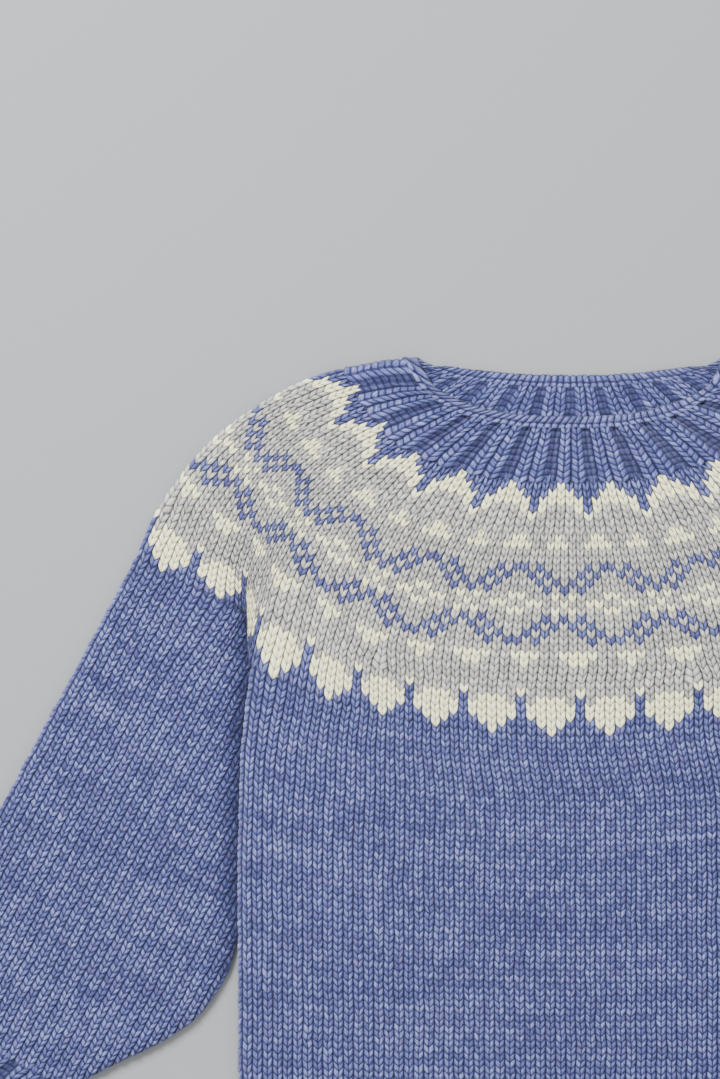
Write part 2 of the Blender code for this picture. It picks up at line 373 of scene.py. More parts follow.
@dataclass(frozen=True)
class WoolYarn:
    """A heathered wool yarn: fibres of several shades spun together.

    The shade of a point is a sum of noises and of its loft, each less its average and times its weight; the
    loft's part is painted highlight on high yarn and painted shade on low yarn. At 0 the yarn has its middle
    colour, and as the sum rises or falls it turns to the light or the dark one. Where the loft is low, in the
    gaps between the legs and where painted crease shade has lowered it, the colour is also multiplied by a
    painted gap shade.
    """

    name: str
    middle: Colour
    dark: Colour
    light: Colour
    fleck: Colour
    # Painted shade: the colour that the gaps between the legs and the creases are multiplied by.
    painted_gap_shade: Colour
    tint: Colour
    fleck_share: float = 0.3
    streak: float = 0.25
    marl: float = 1.0
    # How high the loft reaches before the painted gap shade stops.
    gap_reach: float = 0.94
    fibres: Grain = Grain(2.6, 0.9, 1.6, 3.0, leg_shift=17.0, row_shift=0.37)
    flecks: Grain = Grain(8.5, 3.6, 1.4, 2.0, leg_shift=9.0)
    strands: Grain = Grain(4.0, 1.1, 2.2, 3.0, leg_shift=5.0, twist=2.4)
    rows: Heather = Heather(0.08, 0.83, 7.0, 2.0)
    patches: Heather = Heather(0.04, 0.2, 2.0)
    tints: Heather = Heather(0.7, 0.9, 5.0)
    average: float = 0.5
    average_loft: float = 0.72
    fibre_weight: float = 3.1
    leg_weight: float = 0.62
    row_weight: float = 3.4
    patch_weight: float = 1.8
    # How much painted highlight and shade the loft adds to the yarn's shade.
    painted_light_weight: float = 1.1
    full_shade: float = 0.75
    tint_range: tuple[float, float] = (0.56, 0.72)
    tint_share: float = 0.45
    fleck_range: tuple[float, float] = (0.56, 0.7)
    bump_strength: float = 0.8
    bump_depth: float = 0.4 * MM
    fleck_bump: float = 0.8
    roughness: float = 0.9
    fibre_polish: float = 0.12
    sheen: float = 0.2
    sheen_roughness: float = 0.45
    specular: float = 0.25

    def build(self) -> bpy.types.Material:
        """Makes the yarn's material.

        Returns:
            The material, which reads the stitch map and the loft of each point.
        """
        material = bpy.data.materials.new(self.name)
        material.use_nodes = True
        material.node_tree.nodes.clear()
        bench = Bench(material)
        place = StitchPlace(bench)
        fibres = self.fibres.read(place, place.column.floor())
        flecks = self.flecks.read(place, place.row.floor())
        strands = self.strands.read(place, place.column.floor())
        height = strands + flecks * self.fleck_bump
        bump = {"Strength": self.bump_strength, "Distance": self.bump_depth, "Height": height}
        finish = {
            "Base Color": self._colour(place, fibres, flecks),
            "Roughness": self.roughness - self.fibre_polish * fibres,
            "Sheen Weight": self.sheen,
            "Sheen Roughness": self.sheen_roughness,
            "Specular IOR Level": self.specular,
            "Normal": bench.node("ShaderNodeBump", {}, bump).outputs[0],
        }
        shader = bench.node("ShaderNodeBsdfPrincipled", {}, finish)
        bench.node("ShaderNodeOutputMaterial", {}, {"Surface": shader.outputs[0]})
        material.diffuse_color = opaque(self.middle)
        return material

    def _colour(self, place: StitchPlace, fibres: Value, flecks: Value) -> bpy.types.NodeSocket:
        """Spins the yarn's colours together, and paints highlights on high yarn and shade in the gaps and
        creases.

        Args:
            place: where the points lie.
            fibres: the noise of its fibres.
            flecks: the noise of its flecks.

        Returns:
            The colour's socket.
        """
        bench = place.bench
        loft = Value(bench, bench.node("ShaderNodeAttribute", {"attribute_name": LOFT}, {}).outputs["Fac"])
        rows = self.rows.read(place, place.row.floor())
        patches = self.patches.read(place, place.row)
        tints = self.tints.read(place, place.row.floor())
        shade = (
            (fibres - self.average) * (self.fibre_weight * self.marl)
            + (place.leg - self.average) * (self.leg_weight * self.marl)
            + (rows - self.average) * (self.row_weight * self.streak)
            + (patches - self.average) * (self.patch_weight * self.streak)
            # Painted light: high yarn is painted lighter and low yarn darker.
            + (loft - self.average_loft) * (self.painted_light_weight * self.marl)
        )
        colour = bench.mix(shade.step(0.0, -self.full_shade), opaque(self.middle), opaque(self.dark))
        colour = bench.mix(shade.step(0.0, self.full_shade), colour, opaque(self.light))
        colour = bench.mix(tints.step(*self.tint_range) * self.tint_share, colour, opaque(self.tint))
        colour = bench.mix(flecks.step(*self.fleck_range) * self.fleck_share, colour, opaque(self.fleck))
        # Painted shade in the gaps between the legs and in the creases.
        return bench.mix(1.0 - loft.step(0.0, self.gap_reach), colour, opaque(self.painted_gap_shade), "MULTIPLY")


BLUE_YARN = WoolYarn(
    "blue_yarn",
    middle=(0.0700, 0.0855, 0.2560),
    dark=(0.0270, 0.0340, 0.1320),
    light=(0.212, 0.236, 0.450),
    fleck=(0.340, 0.345, 0.520),
    # The painted shade of the gaps.
    painted_gap_shade=(0.10, 0.11, 0.20),
    tint=(0.095, 0.0755, 0.225),
    streak=0.29,
    fleck_share=0.55,
)
GREY_YARN = WoolYarn(
    "grey_yarn",
    middle=(0.405, 0.398, 0.381),
    dark=(0.205, 0.206, 0.210),
    light=(0.660, 0.648, 0.612),
    fleck=(0.72, 0.700, 0.620),
    # The painted shade of the gaps.
    painted_gap_shade=(0.13, 0.13, 0.135),
    tint=(0.354, 0.317, 0.280),
    gap_reach=0.72,
    streak=0.16,
    marl=0.85,
    fleck_share=0.5,
)
CREAM_YARN = WoolYarn(
    "cream_yarn",
    middle=(0.955, 0.935, 0.610),
    dark=(0.780, 0.745, 0.460),
    light=(0.990, 0.980, 0.730),
    fleck=(0.99, 0.985, 0.82),
    # The painted shade of the gaps.
    painted_gap_shade=(0.09, 0.085, 0.07),
    tint=(0.880, 0.820, 0.490),
    gap_reach=0.66,
    streak=0.08,
    marl=0.7,
)


@dataclass(frozen=True)
class Backdrop:
    """A plain pale matt surface."""

    name: str
    colour: Colour
    roughness: float
    specular: float = 0.2

    def build(self) -> bpy.types.Material:
        """Makes the surface's material.

        Returns:
            The material.
        """
        material = bpy.data.materials.new(self.name)
        material.use_nodes = True
        shader = material.node_tree.nodes["Principled BSDF"]
        shader.inputs["Base Color"].default_value = opaque(self.colour)
        shader.inputs["Roughness"].default_value = self.roughness
        shader.inputs["Specular IOR Level"].default_value = self.specular
        return material


# The shape of the garment


def smooth_through(at: Array, knots: Array, values: Array) -> Array:
    """A smooth line through knots that never overshoots them.

    Args:
        at: the places to read it.
        knots: where its values are given, rising.
        values: those values.

    Returns:
        The line's value at each place.
    """
    step = np.diff(knots)
    slope = np.diff(values) / step
    tangent = np.concatenate(([slope[0]], np.zeros(len(knots) - 2), [slope[-1]]))
    for i in range(1, len(knots) - 1):
        if slope[i - 1] * slope[i] > 0:
            before = 2 * step[i] + step[i - 1]
            after = step[i] + 2 * step[i - 1]
            tangent[i] = (before + after) / (before / slope[i - 1] + after / slope[i])
    at = np.clip(at, knots[0], knots[-1])
    i = np.clip(np.searchsorted(knots, at) - 1, 0, len(step) - 1)
    t = (at - knots[i]) / step[i]
    rise = values[i + 1] - values[i]
    cubic = (tangent[i] + tangent[i + 1]) * step[i] - 2 * rise
    square = 3 * rise - (2 * tangent[i] + tangent[i + 1]) * step[i]
    return values[i] + t * (tangent[i] * step[i] + t * (square + t * cubic))


@dataclass(frozen=True)
class Table:
    """A short table with a name for each column, in millimetres apart from turns."""

    names: tuple[str, ...]
    lines: tuple[tuple[float, ...], ...]

    def column(self, name: str, unit: float = MM) -> Array:
        """One column of the table.

        Args:
            name: the column's name.
            unit: what its numbers are counted in.

        Returns:
            The column.
        """
        return np.array([line[self.names.index(name)] for line in self.lines]) * unit

    def read(self, at: Array, knots: str, values: str) -> Array:
        """A smooth line through two of the columns.

        Args:
            at: the places to read it.
            knots: the name of the column of places.
            values: the name of the column of values.

        Returns:
            The values there.
        """
        return smooth_through(at, self.column(knots), self.column(values))


@dataclass(frozen=True)
class Outline:
    """The garment's paths seen from above, the same as the solids have."""

    top: float = 204.2 * MM
    edge_end: float = 0.038
    rib_end: float = 0.211
    hem_rib: float = 46.0 * MM
    corner_turn: float = 0.1725
    base_stitches: int = 102
    base_offset: float = -0.5
    base_skew: float = 0.01995
    levels: tuple[float, ...] = (0.0, 0.317, 0.543, 1.0)
    wales: Table = Table(
        (
            "turn", "neck_x", "neck_y", "bar_x", "bar_y", "wave_x", "wave_y",
            "base_x", "base_y", "neck_rise", "base_rise",
        ),
        (
            (0.0000, -73.0, 204.2, -125.8, 192.9, -158.7, 173.8, -205.1, 109.0, 0.0, 0.0),
            (0.0556, -63.8, 189.8, -118.4, 178.3, -147.1, 155.8, -180.0, 96.0, 10.0, 0.0),
            (0.1176, -55.1, 184.6, -108.3, 164.1, -133.5, 141.4, -152.4, 81.2, 14.6, 0.0),
            (0.1667, -48.0, 181.8, -98.6, 153.5, -122.7, 130.0, -151.5, 59.6, 16.2, 0.0),
            (0.2059, -42.4, 180.2, -88.8, 146.8, -109.9, 121.3, -133.8, 49.7, 17.4, 6.4),
            (0.2778, -32.0, 177.8, -68.5, 136.7, -86.5, 105.3, -101.3, 38.4, 18.6, 12.7),
            (0.3889, -16.0, 176.2, -33.6, 128.8, -43.8, 95.8, -51.8, 28.3, 19.3, 18.4),
            (0.5000, 0.0, 175.9, 0.0, 127.6, 0.0, 94.0, 0.0, 24.7, 19.3, 20.3),
        ),
    )
    crease: Table = Table(
        ("y", "x"),
        (
            (59.6, -151.5), (81.2, -152.4), (92.1, -152.7), (108.6, -153.5), (128.3, -155.4), (150.0, -157.0),
        ),
    )
    body_side: Table = Table(
        ("y", "x"),
        (
            (-160.0, -156.4), (-91.0, -156.8), (-27.0, -156.8), (9.7, -155.9), (36.5, -154.0), (58.0, -150.6),
        ),
    )

    def whole_turn(self, name: str, sign: float) -> Array:
        """A column of the wale table from fold to fold.

        Args:
            name: the column's name.
            sign: -1 where the right half has the opposite sign.

        Returns:
            The half column and its mirror.
        """
        half = self.wales.column(name)
        return np.concatenate((half, sign * half[-2::-1]))

    def wale_point(self, turn: Array, level: Array, lower: Array) -> Array:
        """Where a knitting column lies on the yoke, seen from above.

        Args:
            turn: 0 at the left fold, 0.5 at the centre and 1 at the right fold.
            level: 0 at the neck edge and 1 at the yoke's base.
            lower: true on the lower panel.

        Returns:
            The x and y of each place.
        """
        left = self.wales.column("turn", 1.0)
        knots = np.concatenate((left, 1.0 - left[-2::-1]))
        x = np.zeros(np.shape(turn))
        y = np.zeros(np.shape(turn))
        for own, name in zip(self.levels, ("neck", "bar", "wave", "base")):
            share = np.ones(np.shape(turn))
            for other in self.levels:
                if other != own:
                    share = share * (level - other) / (own - other)
            x += share * smooth_through(turn, knots, self.whole_turn(name + "_x", -1.0))
            y += share * smooth_through(turn, knots, self.whole_turn(name + "_y", 1.0))
        neck_rise = smooth_through(turn, knots, self.whole_turn("neck_rise", 1.0))
        base_rise = smooth_through(turn, knots, self.whole_turn("base_rise", 1.0))
        y += np.where(lower, (1 - level) * neck_rise + level * base_rise, 0.0)
        return np.stack((x, y), axis=-1)

    def side_of_body(self, y: Array) -> Array:
        """The x of the crease beside the yoke, or of the body's side fold below it.

        Args:
            y: the places.

        Returns:
            The x on the left side.
        """
        corner = self.crease.lines[0][0] * MM
        return np.where(y > corner, self.crease.read(y, "y", "x"), self.body_side.read(y, "y", "x"))


OUTLINE = Outline()


def base_edges() -> Array:
    """Where the columns of the yoke's last rows start and end, which the body and the sleeves go on from.

    Returns:
        The edges, in turns.
    """
    return even_edges(OUTLINE.base_stitches, OUTLINE.base_offset, OUTLINE.base_skew)


def plain(turn: Array, share: Array, place: Array) -> Array:
    """No relief.

    Args:
        turn: the places' turns.
        share: their shares.
        place: their x and y.

    Returns:
        Zeros.
    """
    return np.zeros(np.shape(turn))


@dataclass
class FlatTube:
    """A knitted tube pressed flat, with a soft fold down each side."""

    path: Path
    wall: float = 2.6 * MM
    gap: float = 0.45 * MM
    fold_radius: float = 5.5 * MM
    swell: float = 0.5 * MM
    swell_reach: float = 9.0 * MM
    relief: Relief = plain
    mirrored: bool = False
    margin: float = 0.1
    measured_rows: int = 61
    measured_places: int = 401
    inside_last: float = 0.001
    runs: Array = field(init=False)
    shares: Array = field(init=False)
    ats: Array = field(init=False)

    def __post_init__(self) -> None:
        """Measures the paths once, for every later question about distance."""
        self.shares = np.linspace(-self.margin, 1 + self.margin, self.measured_rows)
        self.ats = np.linspace(0, 1, self.measured_places)
        at, share = np.meshgrid(self.ats, self.shares)
        place = self.path(at, share, np.zeros(at.shape, bool))
        steps = np.linalg.norm(np.diff(place, axis=1), axis=-1)
        self.runs = np.concatenate((np.zeros((len(self.shares), 1)), np.cumsum(steps, axis=1)), axis=1)

    def from_folds(self, at: Array, share: Array) -> tuple[Array, Array]:
        """How far places are from the two folds, along their rows.

        Args:
            at: 0 at the left fold and 1 at the right one.
            share: 0 at the upper rim and 1 at the lower one.

        Returns:
            The distance from the left fold, and from the right one.
        """
        last_row, last_place = self.measured_rows - 1, self.measured_places - 1
        row = (share - self.shares[0]) / (self.shares[1] - self.shares[0])
        row = np.clip(row, 0, last_row - self.inside_last)
        col = np.clip(at * last_place, 0, last_place - self.inside_last)
        j, i = row.astype(int), col.astype(int)
        fj, fi = row - j, col - i
        near = self.runs[j, i] * (1 - fi) + self.runs[j, i + 1] * fi
        far = self.runs[j + 1, i] * (1 - fi) + self.runs[j + 1, i + 1] * fi
        total = self.runs[j, -1] * (1 - fj) + self.runs[j + 1, -1] * fj
        left = near * (1 - fj) + far * fj
        return left, total - left

    def skin(self, turn: Array, share: Array, inset: float = 0.0) -> Array:
        """Points on the outer skin, or on the inner one, before any stitch is raised.

        Args:
            turn: where round the tube.
            share: where along it.
            inset: how far inside the outer skin.

        Returns:
            The points.
        """
        turn = np.mod(turn, 2.0)
        lower = turn > 1
        at = np.where(lower, 2 - turn, turn)
        left, right = self.from_folds(at, share)
        if inset:
            total = left + right
            wanted = (inset + left * (1 - 2 * inset / total)) / total
            at = np.array([np.interp(w, *self._row(s)) for w, s in zip(wanted, share[:, 0])])
            left, right = self.from_folds(at, share)
        place = self.path(at, share, lower)
        far = np.minimum(left, right)
        height = 2 * self.wall + self.gap
        lift = np.sqrt(1 - (1 - np.clip((far - inset) / (self.fold_radius - inset), 0, 1)) ** 2)
        swell = self.swell * np.exp(-(((far - self.fold_radius) / self.swell_reach) ** 2))
        raised = 0.0 if inset else self.relief(at, share, place)
        face = np.where(lower, inset, height - inset + swell + raised)
        z = height / 2 + (face - height / 2) * lift
        if self.mirrored:
            place = place * (-1, 1)
        return np.concatenate((place, z[..., None]), axis=-1)

    def _row(self, share: float) -> tuple[Array, Array]:
        """The measured row nearest to a share.

        Args:
            share: where along the tube.

        Returns:
            Its distances from the left fold as shares of its length, and the place each belongs to.
        """
        j = int(np.argmin(np.abs(self.shares - share)))
        always_rising = np.arange(len(self.ats)) * TINY
        return self.runs[j] / self.runs[j, -1] + always_rising, self.ats


@dataclass(frozen=True)
class Column:
    """One column of stitches: where it starts and ends outside and inside, in turns, and how it is made."""

    start: float
    end: float
    inner_start: float
    inner_end: float
    number: int
    stitch: Stitch
    fine: bool


@dataclass(frozen=True)
class StitchForm:
    """The form of one stitch, as heights at a few places across and down it."""

    relief: float = 1.15 * MM
    lean: float = 0.74
    across: tuple[float, ...] = (0.0, 0.13, 0.37, 0.5, 0.63, 0.87)
    leg_height: tuple[float, ...] = (-0.04, 0.8, 0.98, 0.28, 0.98, 0.8)
    down: tuple[float, ...] = (0.0, 0.24, 0.74)
    grain_height: tuple[float, ...] = (0.28, 1.0, 0.92)
    purl_across: tuple[float, ...] = (0.0, 0.5)
    purl_height: tuple[float, ...] = (0.5, 0.8)
    sunk: float = 0.62
    unevenness: float = 0.22
    coarse_height: float = 0.6


FORM = StitchForm()


def over_stitch(at: Array, places: tuple[float, ...], heights: tuple[float, ...]) -> Array:
    """Reads heights that are given at a few places of a stitch, and that the next stitch repeats."""
    return np.interp(at, places + (1.0,), heights + (heights[0],))


class Unevenness:
    """Slow random change over the stitches, as hand knitting has."""

    cells: int = 64
    start: tuple[float, float] = (31.0, 17.0)

    def __init__(self, seed: int, reach: float) -> None:
        """Draws the random numbers once.

        Args:
            seed: which draw.
            reach: how many stitches it takes to change.
        """
        self.grid = np.random.default_rng(seed).uniform(-1, 1, (self.cells, self.cells))
        self.reach = reach

    def at(self, column: Array, row: Array) -> Array:
        """Reads the change.

        Args:
            column: the stitch's column.
            row: its row.

        Returns:
            A number from -1 to 1 for each place.
        """
        x, y = column / self.reach + self.start[0], row / self.reach + self.start[1]
        i, j = np.floor(x).astype(int), np.floor(y).astype(int)
        fx, fy = x - i, y - j
        fx, fy = fx * fx * (3 - 2 * fx), fy * fy * (3 - 2 * fy)
        grid, n = self.grid, self.cells
        top = grid[j % n, i % n] * (1 - fx) + grid[j % n, (i + 1) % n] * fx
        foot = grid[(j + 1) % n, i % n] * (1 - fx) + grid[(j + 1) % n, (i + 1) % n] * fx
        return top * (1 - fy) + foot * fy


@dataclass(frozen=True)
class Lines:
    """The lines of points that run down a piece."""

    turn: Array
    inner_turn: Array
    part: Array
    number: Array
    is_knit: Array
    is_fine: Array


@dataclass(frozen=True)
class Rounds:
    """The lines of points that run round a piece: each one's row of stitches, and its place down it."""

    row: Array
    down: Array

    def at(self) -> Array:
        """How far down the piece each line is, in rows."""
        return self.row + self.down

    def turned(self) -> "Rounds":
        """The same lines from the foot up, as the inner skin has them."""
        return Rounds(self.row[::-1], self.down[::-1])


class Grid(NamedTuple):
    """The points of a skin, a line of them for each round, with their loft (darkened where painted crease
    shade falls) and how far down each round is.
    """

    points: Array
    loft: Array
    at: Array


@dataclass
class Knitting:
    """A tube knitted from columns and rows of stitches, as one closed mesh."""

    tube: FlatTube
    columns: list[Column]
    rows: int
    seed: int = 1
    colour: Charting | None = None
    drift: Drifting | None = None
    # Painted shade along a crease, from 0 to 1, that darkens the loft and so the yarn's colour.
    crease: Shading | None = None
    fade: float = 0.0
    # How high purl stitches stand in the gutters; through the loft it also paints them in shade.
    gutter: float = 0.6
    most_loft: float = 1.2
    tucked_rows: int = 1
    tuck_depth: float = 0.75 * MM
    # How much the tucked rows sink and are painted in shade, through their loft.
    tuck_sink_and_shade: float = 0.25
    inner_rows: int = 6
    lined: bool = False
    lining_sunk: float = 0.9
    lining_relief: float = 0.6
    upper_from: float = 1.2
    billow: float = 0.25 * MM
    billow_reach: float = 14.0
    billow_stitches: float = 60.0
    wander: float = 0.3 * MM
    wander_reach: float = 4.0
    jitter: float = 0.3 * MM
    jitter_reach: float = 0.8
    draws: int = 640
    spare_rows: int = 9
    rows_before: int = 2
    touching: float = 1e-7
    weld_distance: float = 2e-6
    map_margin: float = 0.05 * MM
    corners: tuple[tuple[int, int], ...] = ((0, 0), (0, 1), (1, 1), (1, 0))

    def mesh(self, name: str, yarns: list[bpy.types.Material]) -> bpy.types.Object:
        """Builds the piece.

        Args:
            name: the piece's name.
            yarns: its materials, in the order of Yarn.

        Returns:
            The new object.
        """
        lines = self._across()
        rounds = self._down()
        outer = self._stitched_skin(lines, rounds, False)
        inner = self._stitched_skin(lines, rounds.turned(), True) if self.lined else self._plain_lining(lines)
        grid = Grid(*(np.concatenate(pair) for pair in zip(outer, inner)))
        faces = self._faces(grid)
        mesh = bpy.data.meshes.new(name)
        mesh.vertices.add(grid.loft.size)
        mesh.vertices.foreach_set("co", grid.points.astype(np.float32).ravel())
        mesh.loops.add(faces.size)
        mesh.loops.foreach_set("vertex_index", faces.ravel())
        mesh.polygons.add(len(faces))
        mesh.polygons.foreach_set("loop_start", np.arange(0, faces.size, faces.shape[1], dtype=np.int32))
        for yarn in yarns:
            mesh.materials.append(yarn)
        mesh.polygons.foreach_set("material_index", self._face_yarns(lines, rounds, len(grid.at)).ravel())
        mesh.update(calc_edges=True)
        self._add_map(mesh, BAKE_MAP, *self._bake_places(grid.points))
        columns = np.append(lines.number + lines.part, lines.number[-1] + 1.0)
        self._add_map(mesh, STITCH_MAP, columns, np.append(grid.at, grid.at[-1]))
        # The loft, from which the yarns paint shade and highlights.
        lofts = mesh.attributes.new(LOFT, "FLOAT", "POINT")
        lofts.data.foreach_set("value", grid.loft.astype(np.float32).ravel())
        mesh.shade_smooth()
        if self.fade:
            self._weld(mesh)
        made = bpy.data.objects.new(name, mesh)
        bpy.context.scene.collection.objects.link(made)
        return made

    def _across(self) -> Lines:
        """The lines of points that run down the piece.

        Returns:
            The lines.
        """
        lines = []
        for column in self.columns:
            knit = column.stitch is Stitch.KNIT
            places = (0.0,)
            if column.fine:
                places = FORM.across if knit or self.lined else FORM.purl_across
            for place in places:
                at = column.start + (column.end - column.start) * place
                inner_at = column.inner_start + (column.inner_end - column.inner_start) * place
                lines.append((at, inner_at, place, column.number, knit, column.fine))
        return Lines(*(np.array(values) for values in zip(*lines)))

    def _down(self) -> Rounds:
        """The lines of points that run round the piece, down to its last edge.

        Returns:
            The lines.
        """
        rows = np.arange(-self.tucked_rows, self.rows)
        row = np.append(np.repeat(rows, len(FORM.down)), self.rows)
        return Rounds(row, np.append(np.tile(FORM.down, len(rows)), 0.0))

    def _plain_lining(self, lines: Lines) -> Grid:
        """The inner skin of a piece that can't be looked into.

        Args:
            lines: the lines down the piece.

        Returns:
            The skin, without stitches.
        """
        shares = np.linspace(1, 0, self.inner_rows)
        turn, share = np.meshgrid(lines.turn, shares)
        return Grid(self.tube.skin(turn, share, self.tube.wall), np.ones(turn.shape), shares * self.rows)

    def _turns(self, lines: Lines, line: Array, inside: bool) -> Array:
        """Where each point lies round the tube.

        Args:
            lines: the lines down the piece.
            line: how far down each point is, in rows.
            inside: whether this is the inner skin.

        Returns:
            The turns.
        """
        turns = np.broadcast_to(lines.inner_turn if inside else lines.turn, line.shape)
        return turns if self.drift is None else self.drift(turns, line)

    def _rise(self, lines: Lines, shows_knit: Array) -> Array:
        """How far each line's rows lie above their V's points.

        Args:
            lines: the lines down the piece.
            shows_knit: whether each one's stitch shows as a knit one on this side.

        Returns:
            The rise, in rows.
        """
        return FORM.lean * np.where(shows_knit, np.abs(2 * lines.part - 1), 1.0)

    def _loft(self, lines: Lines, shows_knit: Array, rounds: Rounds) -> Array:
        """How high the yarn stands at each point.

        Args:
            lines: the lines down the piece.
            shows_knit: whether each one's stitch shows as a knit one on this side.
            rounds: the lines round it.

        Returns:
            The loft: 0 in the gaps and 1 on the legs. It raises the yarn, and the yarns paint shade where it
                is low and highlights where it is high.
        """
        leg = over_stitch(lines.part, FORM.across, FORM.leg_height)
        purl = over_stitch(lines.part, FORM.purl_across, FORM.purl_height)
        grain = over_stitch(rounds.down, FORM.down, FORM.grain_height)
        loft = np.where(shows_knit, leg, self.gutter * purl)[None, :] * grain[:, None]
        loft = loft * self._plumpness(lines, rounds)
        return np.where(lines.is_fine[None, :], loft, FORM.coarse_height * grain[:, None])

    def _plumpness(self, lines: Lines, rounds: Rounds) -> Array:
        """How plump each stitch is, a little different from its neighbours.

        Args:
            lines: the lines down the piece.
            rounds: the lines round it.

        Returns:
            A factor round 1 for each point.
        """
        draw = np.random.default_rng(self.seed).random((self.rows + self.spare_rows, self.draws))
        plump = 1 + FORM.unevenness * (draw - 0.5)
        return plump[(rounds.row + self.rows_before)[:, None], (lines.number % self.draws)[None, :]]

    def _uneven(self, draw: Draw, reach: float, column: Array, line: Array) -> Array:
        """One of the piece's own slow changes.

        Args:
            draw: which one.
            reach: how many stitches it takes to change.
            column: the places' columns.
            line: how far down they are, in rows.

        Returns:
            A number from -1 to 1 for each place.
        """
        return Unevenness(self.seed + draw.value, reach).at(column, line)

    def _stitched_skin(self, lines: Lines, rounds: Rounds, inside: bool) -> Grid:
        """The outer or the inner skin with its stitches raised.

        Args:
            lines: the lines down the piece.
            rounds: the lines round it.
            inside: whether this is the inner skin, where knit stitches show as purl ones.

        Returns:
            The skin.
        """
        shows_knit = lines.is_knit != inside
        line = np.broadcast_to(rounds.at()[:, None], (len(rounds.row), len(lines.turn)))
        level = line - self._rise(lines, shows_knit)[None, :]
        turn = self._turns(lines, line, inside)
        if self.fade:
            level = self._settled(turn, level, line)
        share = level / self.rows
        points = self.tube.skin(turn, share, self.tube.wall if inside else 0.0)
        tucked = np.clip(-line / FORM.down[1], 0, 1)
        # Tucked rows sink and are painted darker through their loft.
        loft = self._loft(lines, shows_knit, rounds) * (1 - self.tuck_sink_and_shade * tucked)
        sunk, relief = (self.lining_sunk, self.lining_relief) if inside else (FORM.sunk, 1.0)
        lift = FORM.relief * relief * (loft - sunk) - self.tuck_depth * tucked
        if not inside:
            upper = points[..., 2] > self.tube.wall * self.upper_from
            slow = self._uneven(Draw.BILLOW, self.billow_reach, turn * self.billow_stitches, line)
            lift = lift + self.billow * slow * upper
        stitch = np.broadcast_to((lines.number + lines.part)[None, :], level.shape)
        sideways = self.wander * self._uneven(Draw.WANDER, self.wander_reach, stitch, line)
        sideways = sideways + self.jitter * self._uneven(Draw.SIDEWAYS, self.jitter_reach, stitch, line)
        endways = self.jitter * self._uneven(Draw.ENDWAYS, self.jitter_reach, stitch, line)
        if self.fade:
            settled = np.clip(self._from_inner_edge(turn, share) / self.fade, 0, 1)
            lift, sideways, endways = (lift * settled, sideways * settled, endways * settled)
        moved = points + self._normals(points) * lift[..., None]
        moved[..., 0] += sideways
        moved[..., 1] += endways
        moved[..., 2] = np.maximum(moved[..., 2], 0.0)
        # Paints crease shade into the loft, which the yarns darken their colour by.
        if self.crease is not None:
            loft = loft * (1 - self.crease(points))
        return Grid(moved, np.clip(loft, 0, self.most_loft), rounds.at())

    def _from_inner_edge(self, turn: Array, share: Array) -> Array:
        """How far places are from the right fold, which is a sleeve's inner edge.

        Args:
            turn: where round the tube.
            share: where along it.

        Returns:
            The distances.
        """
        turn = np.mod(turn, 2.0)
        return self.tube.from_folds(np.where(turn > 1, 2 - turn, turn), share)[1]

    def _settled(self, turn: Array, level: Array, line: Array) -> Array:
        """Brings the points past a sleeve's inner edge to one point in each row.

        Args:
            turn: where round the tube.
            level: how far down each point is with its V, in rows.
            line: how far down its round is.

        Returns:
            The new level of each point.
        """
        straight = np.broadcast_to(line - FORM.lean, level.shape)
        past = self._from_inner_edge(turn, straight / self.rows) <= self.touching
        return np.where(past, straight, level)

    def _normals(self, points: Array) -> Array:
        """Unit normals of a closed grid of points, pointing out of the tube.

        Args:
            points: the grid, rows first.

        Returns:
            The normals.
        """
        round_it = np.roll(points, -1, axis=1) - np.roll(points, 1, axis=1)
        down_it = np.gradient(points, axis=0)
        normal = np.cross(down_it, round_it)
        if self.tube.mirrored:
            normal = -normal
        length = np.linalg.norm(normal, axis=-1, keepdims=True)
        return normal / np.maximum(length, TINY)

    def _corner_steps(self) -> tuple[tuple[int, int], ...]:
        """The corners of a face as steps down and round, so that every face looks out."""
        return self.corners if self.tube.mirrored else self.corners[::-1]

    def _faces(self, grid: Grid) -> Array:
        """The faces of the mesh, whose grid closes both round and along.

        Args:
            grid: its points.

        Returns:
            The four points of each face.
        """
        down, round_it = grid.loft.shape
        j, i = np.indices((down, round_it))
        steps = self._corner_steps()
        faces = [(j + dj) % down * round_it + (i + di) % round_it for dj, di in steps]
        return np.stack(faces, axis=-1).reshape(-1, len(steps)).astype(np.int32)

    def _bake_places(self, points: Array) -> tuple[Array, Array]:
        """Places on a square for the lines of the grid, so that no two faces share any.

        Args:
            points: the grid.

        Returns:
            Where each line down the piece and the end lie across it, and each round and the end down it.
        """
        widths = np.linalg.norm(np.roll(points, -1, axis=1) - points, axis=-1).max(axis=0)
        heights = np.linalg.norm(np.roll(points, -1, axis=0) - points, axis=-1).mean(axis=1)
        across = np.concatenate(([0.0], np.cumsum(widths + self.map_margin)))
        down = np.concatenate(([0.0], np.cumsum(heights + self.map_margin)))
        size = max(across[-1], down[-1])
        return across / size, down / size

    def _add_map(self, mesh: bpy.types.Mesh, name: str, across: Array, down: Array) -> None:
        """Adds a map to the corners of the faces.

        Args:
            mesh: the piece's mesh.
            name: the map's name.
            across: its first number at each line down the piece, and at the end.
            down: its second number at each round, and at the end.
        """
        j, i = np.indices((len(down) - 1, len(across) - 1))
        pairs = [np.stack((across[i + di], down[j + dj]), axis=-1) for dj, di in self._corner_steps()]
        places = np.stack(pairs, axis=-2).astype(np.float32).ravel()
        mesh.uv_layers.new(name=name).data.foreach_set("uv", places)

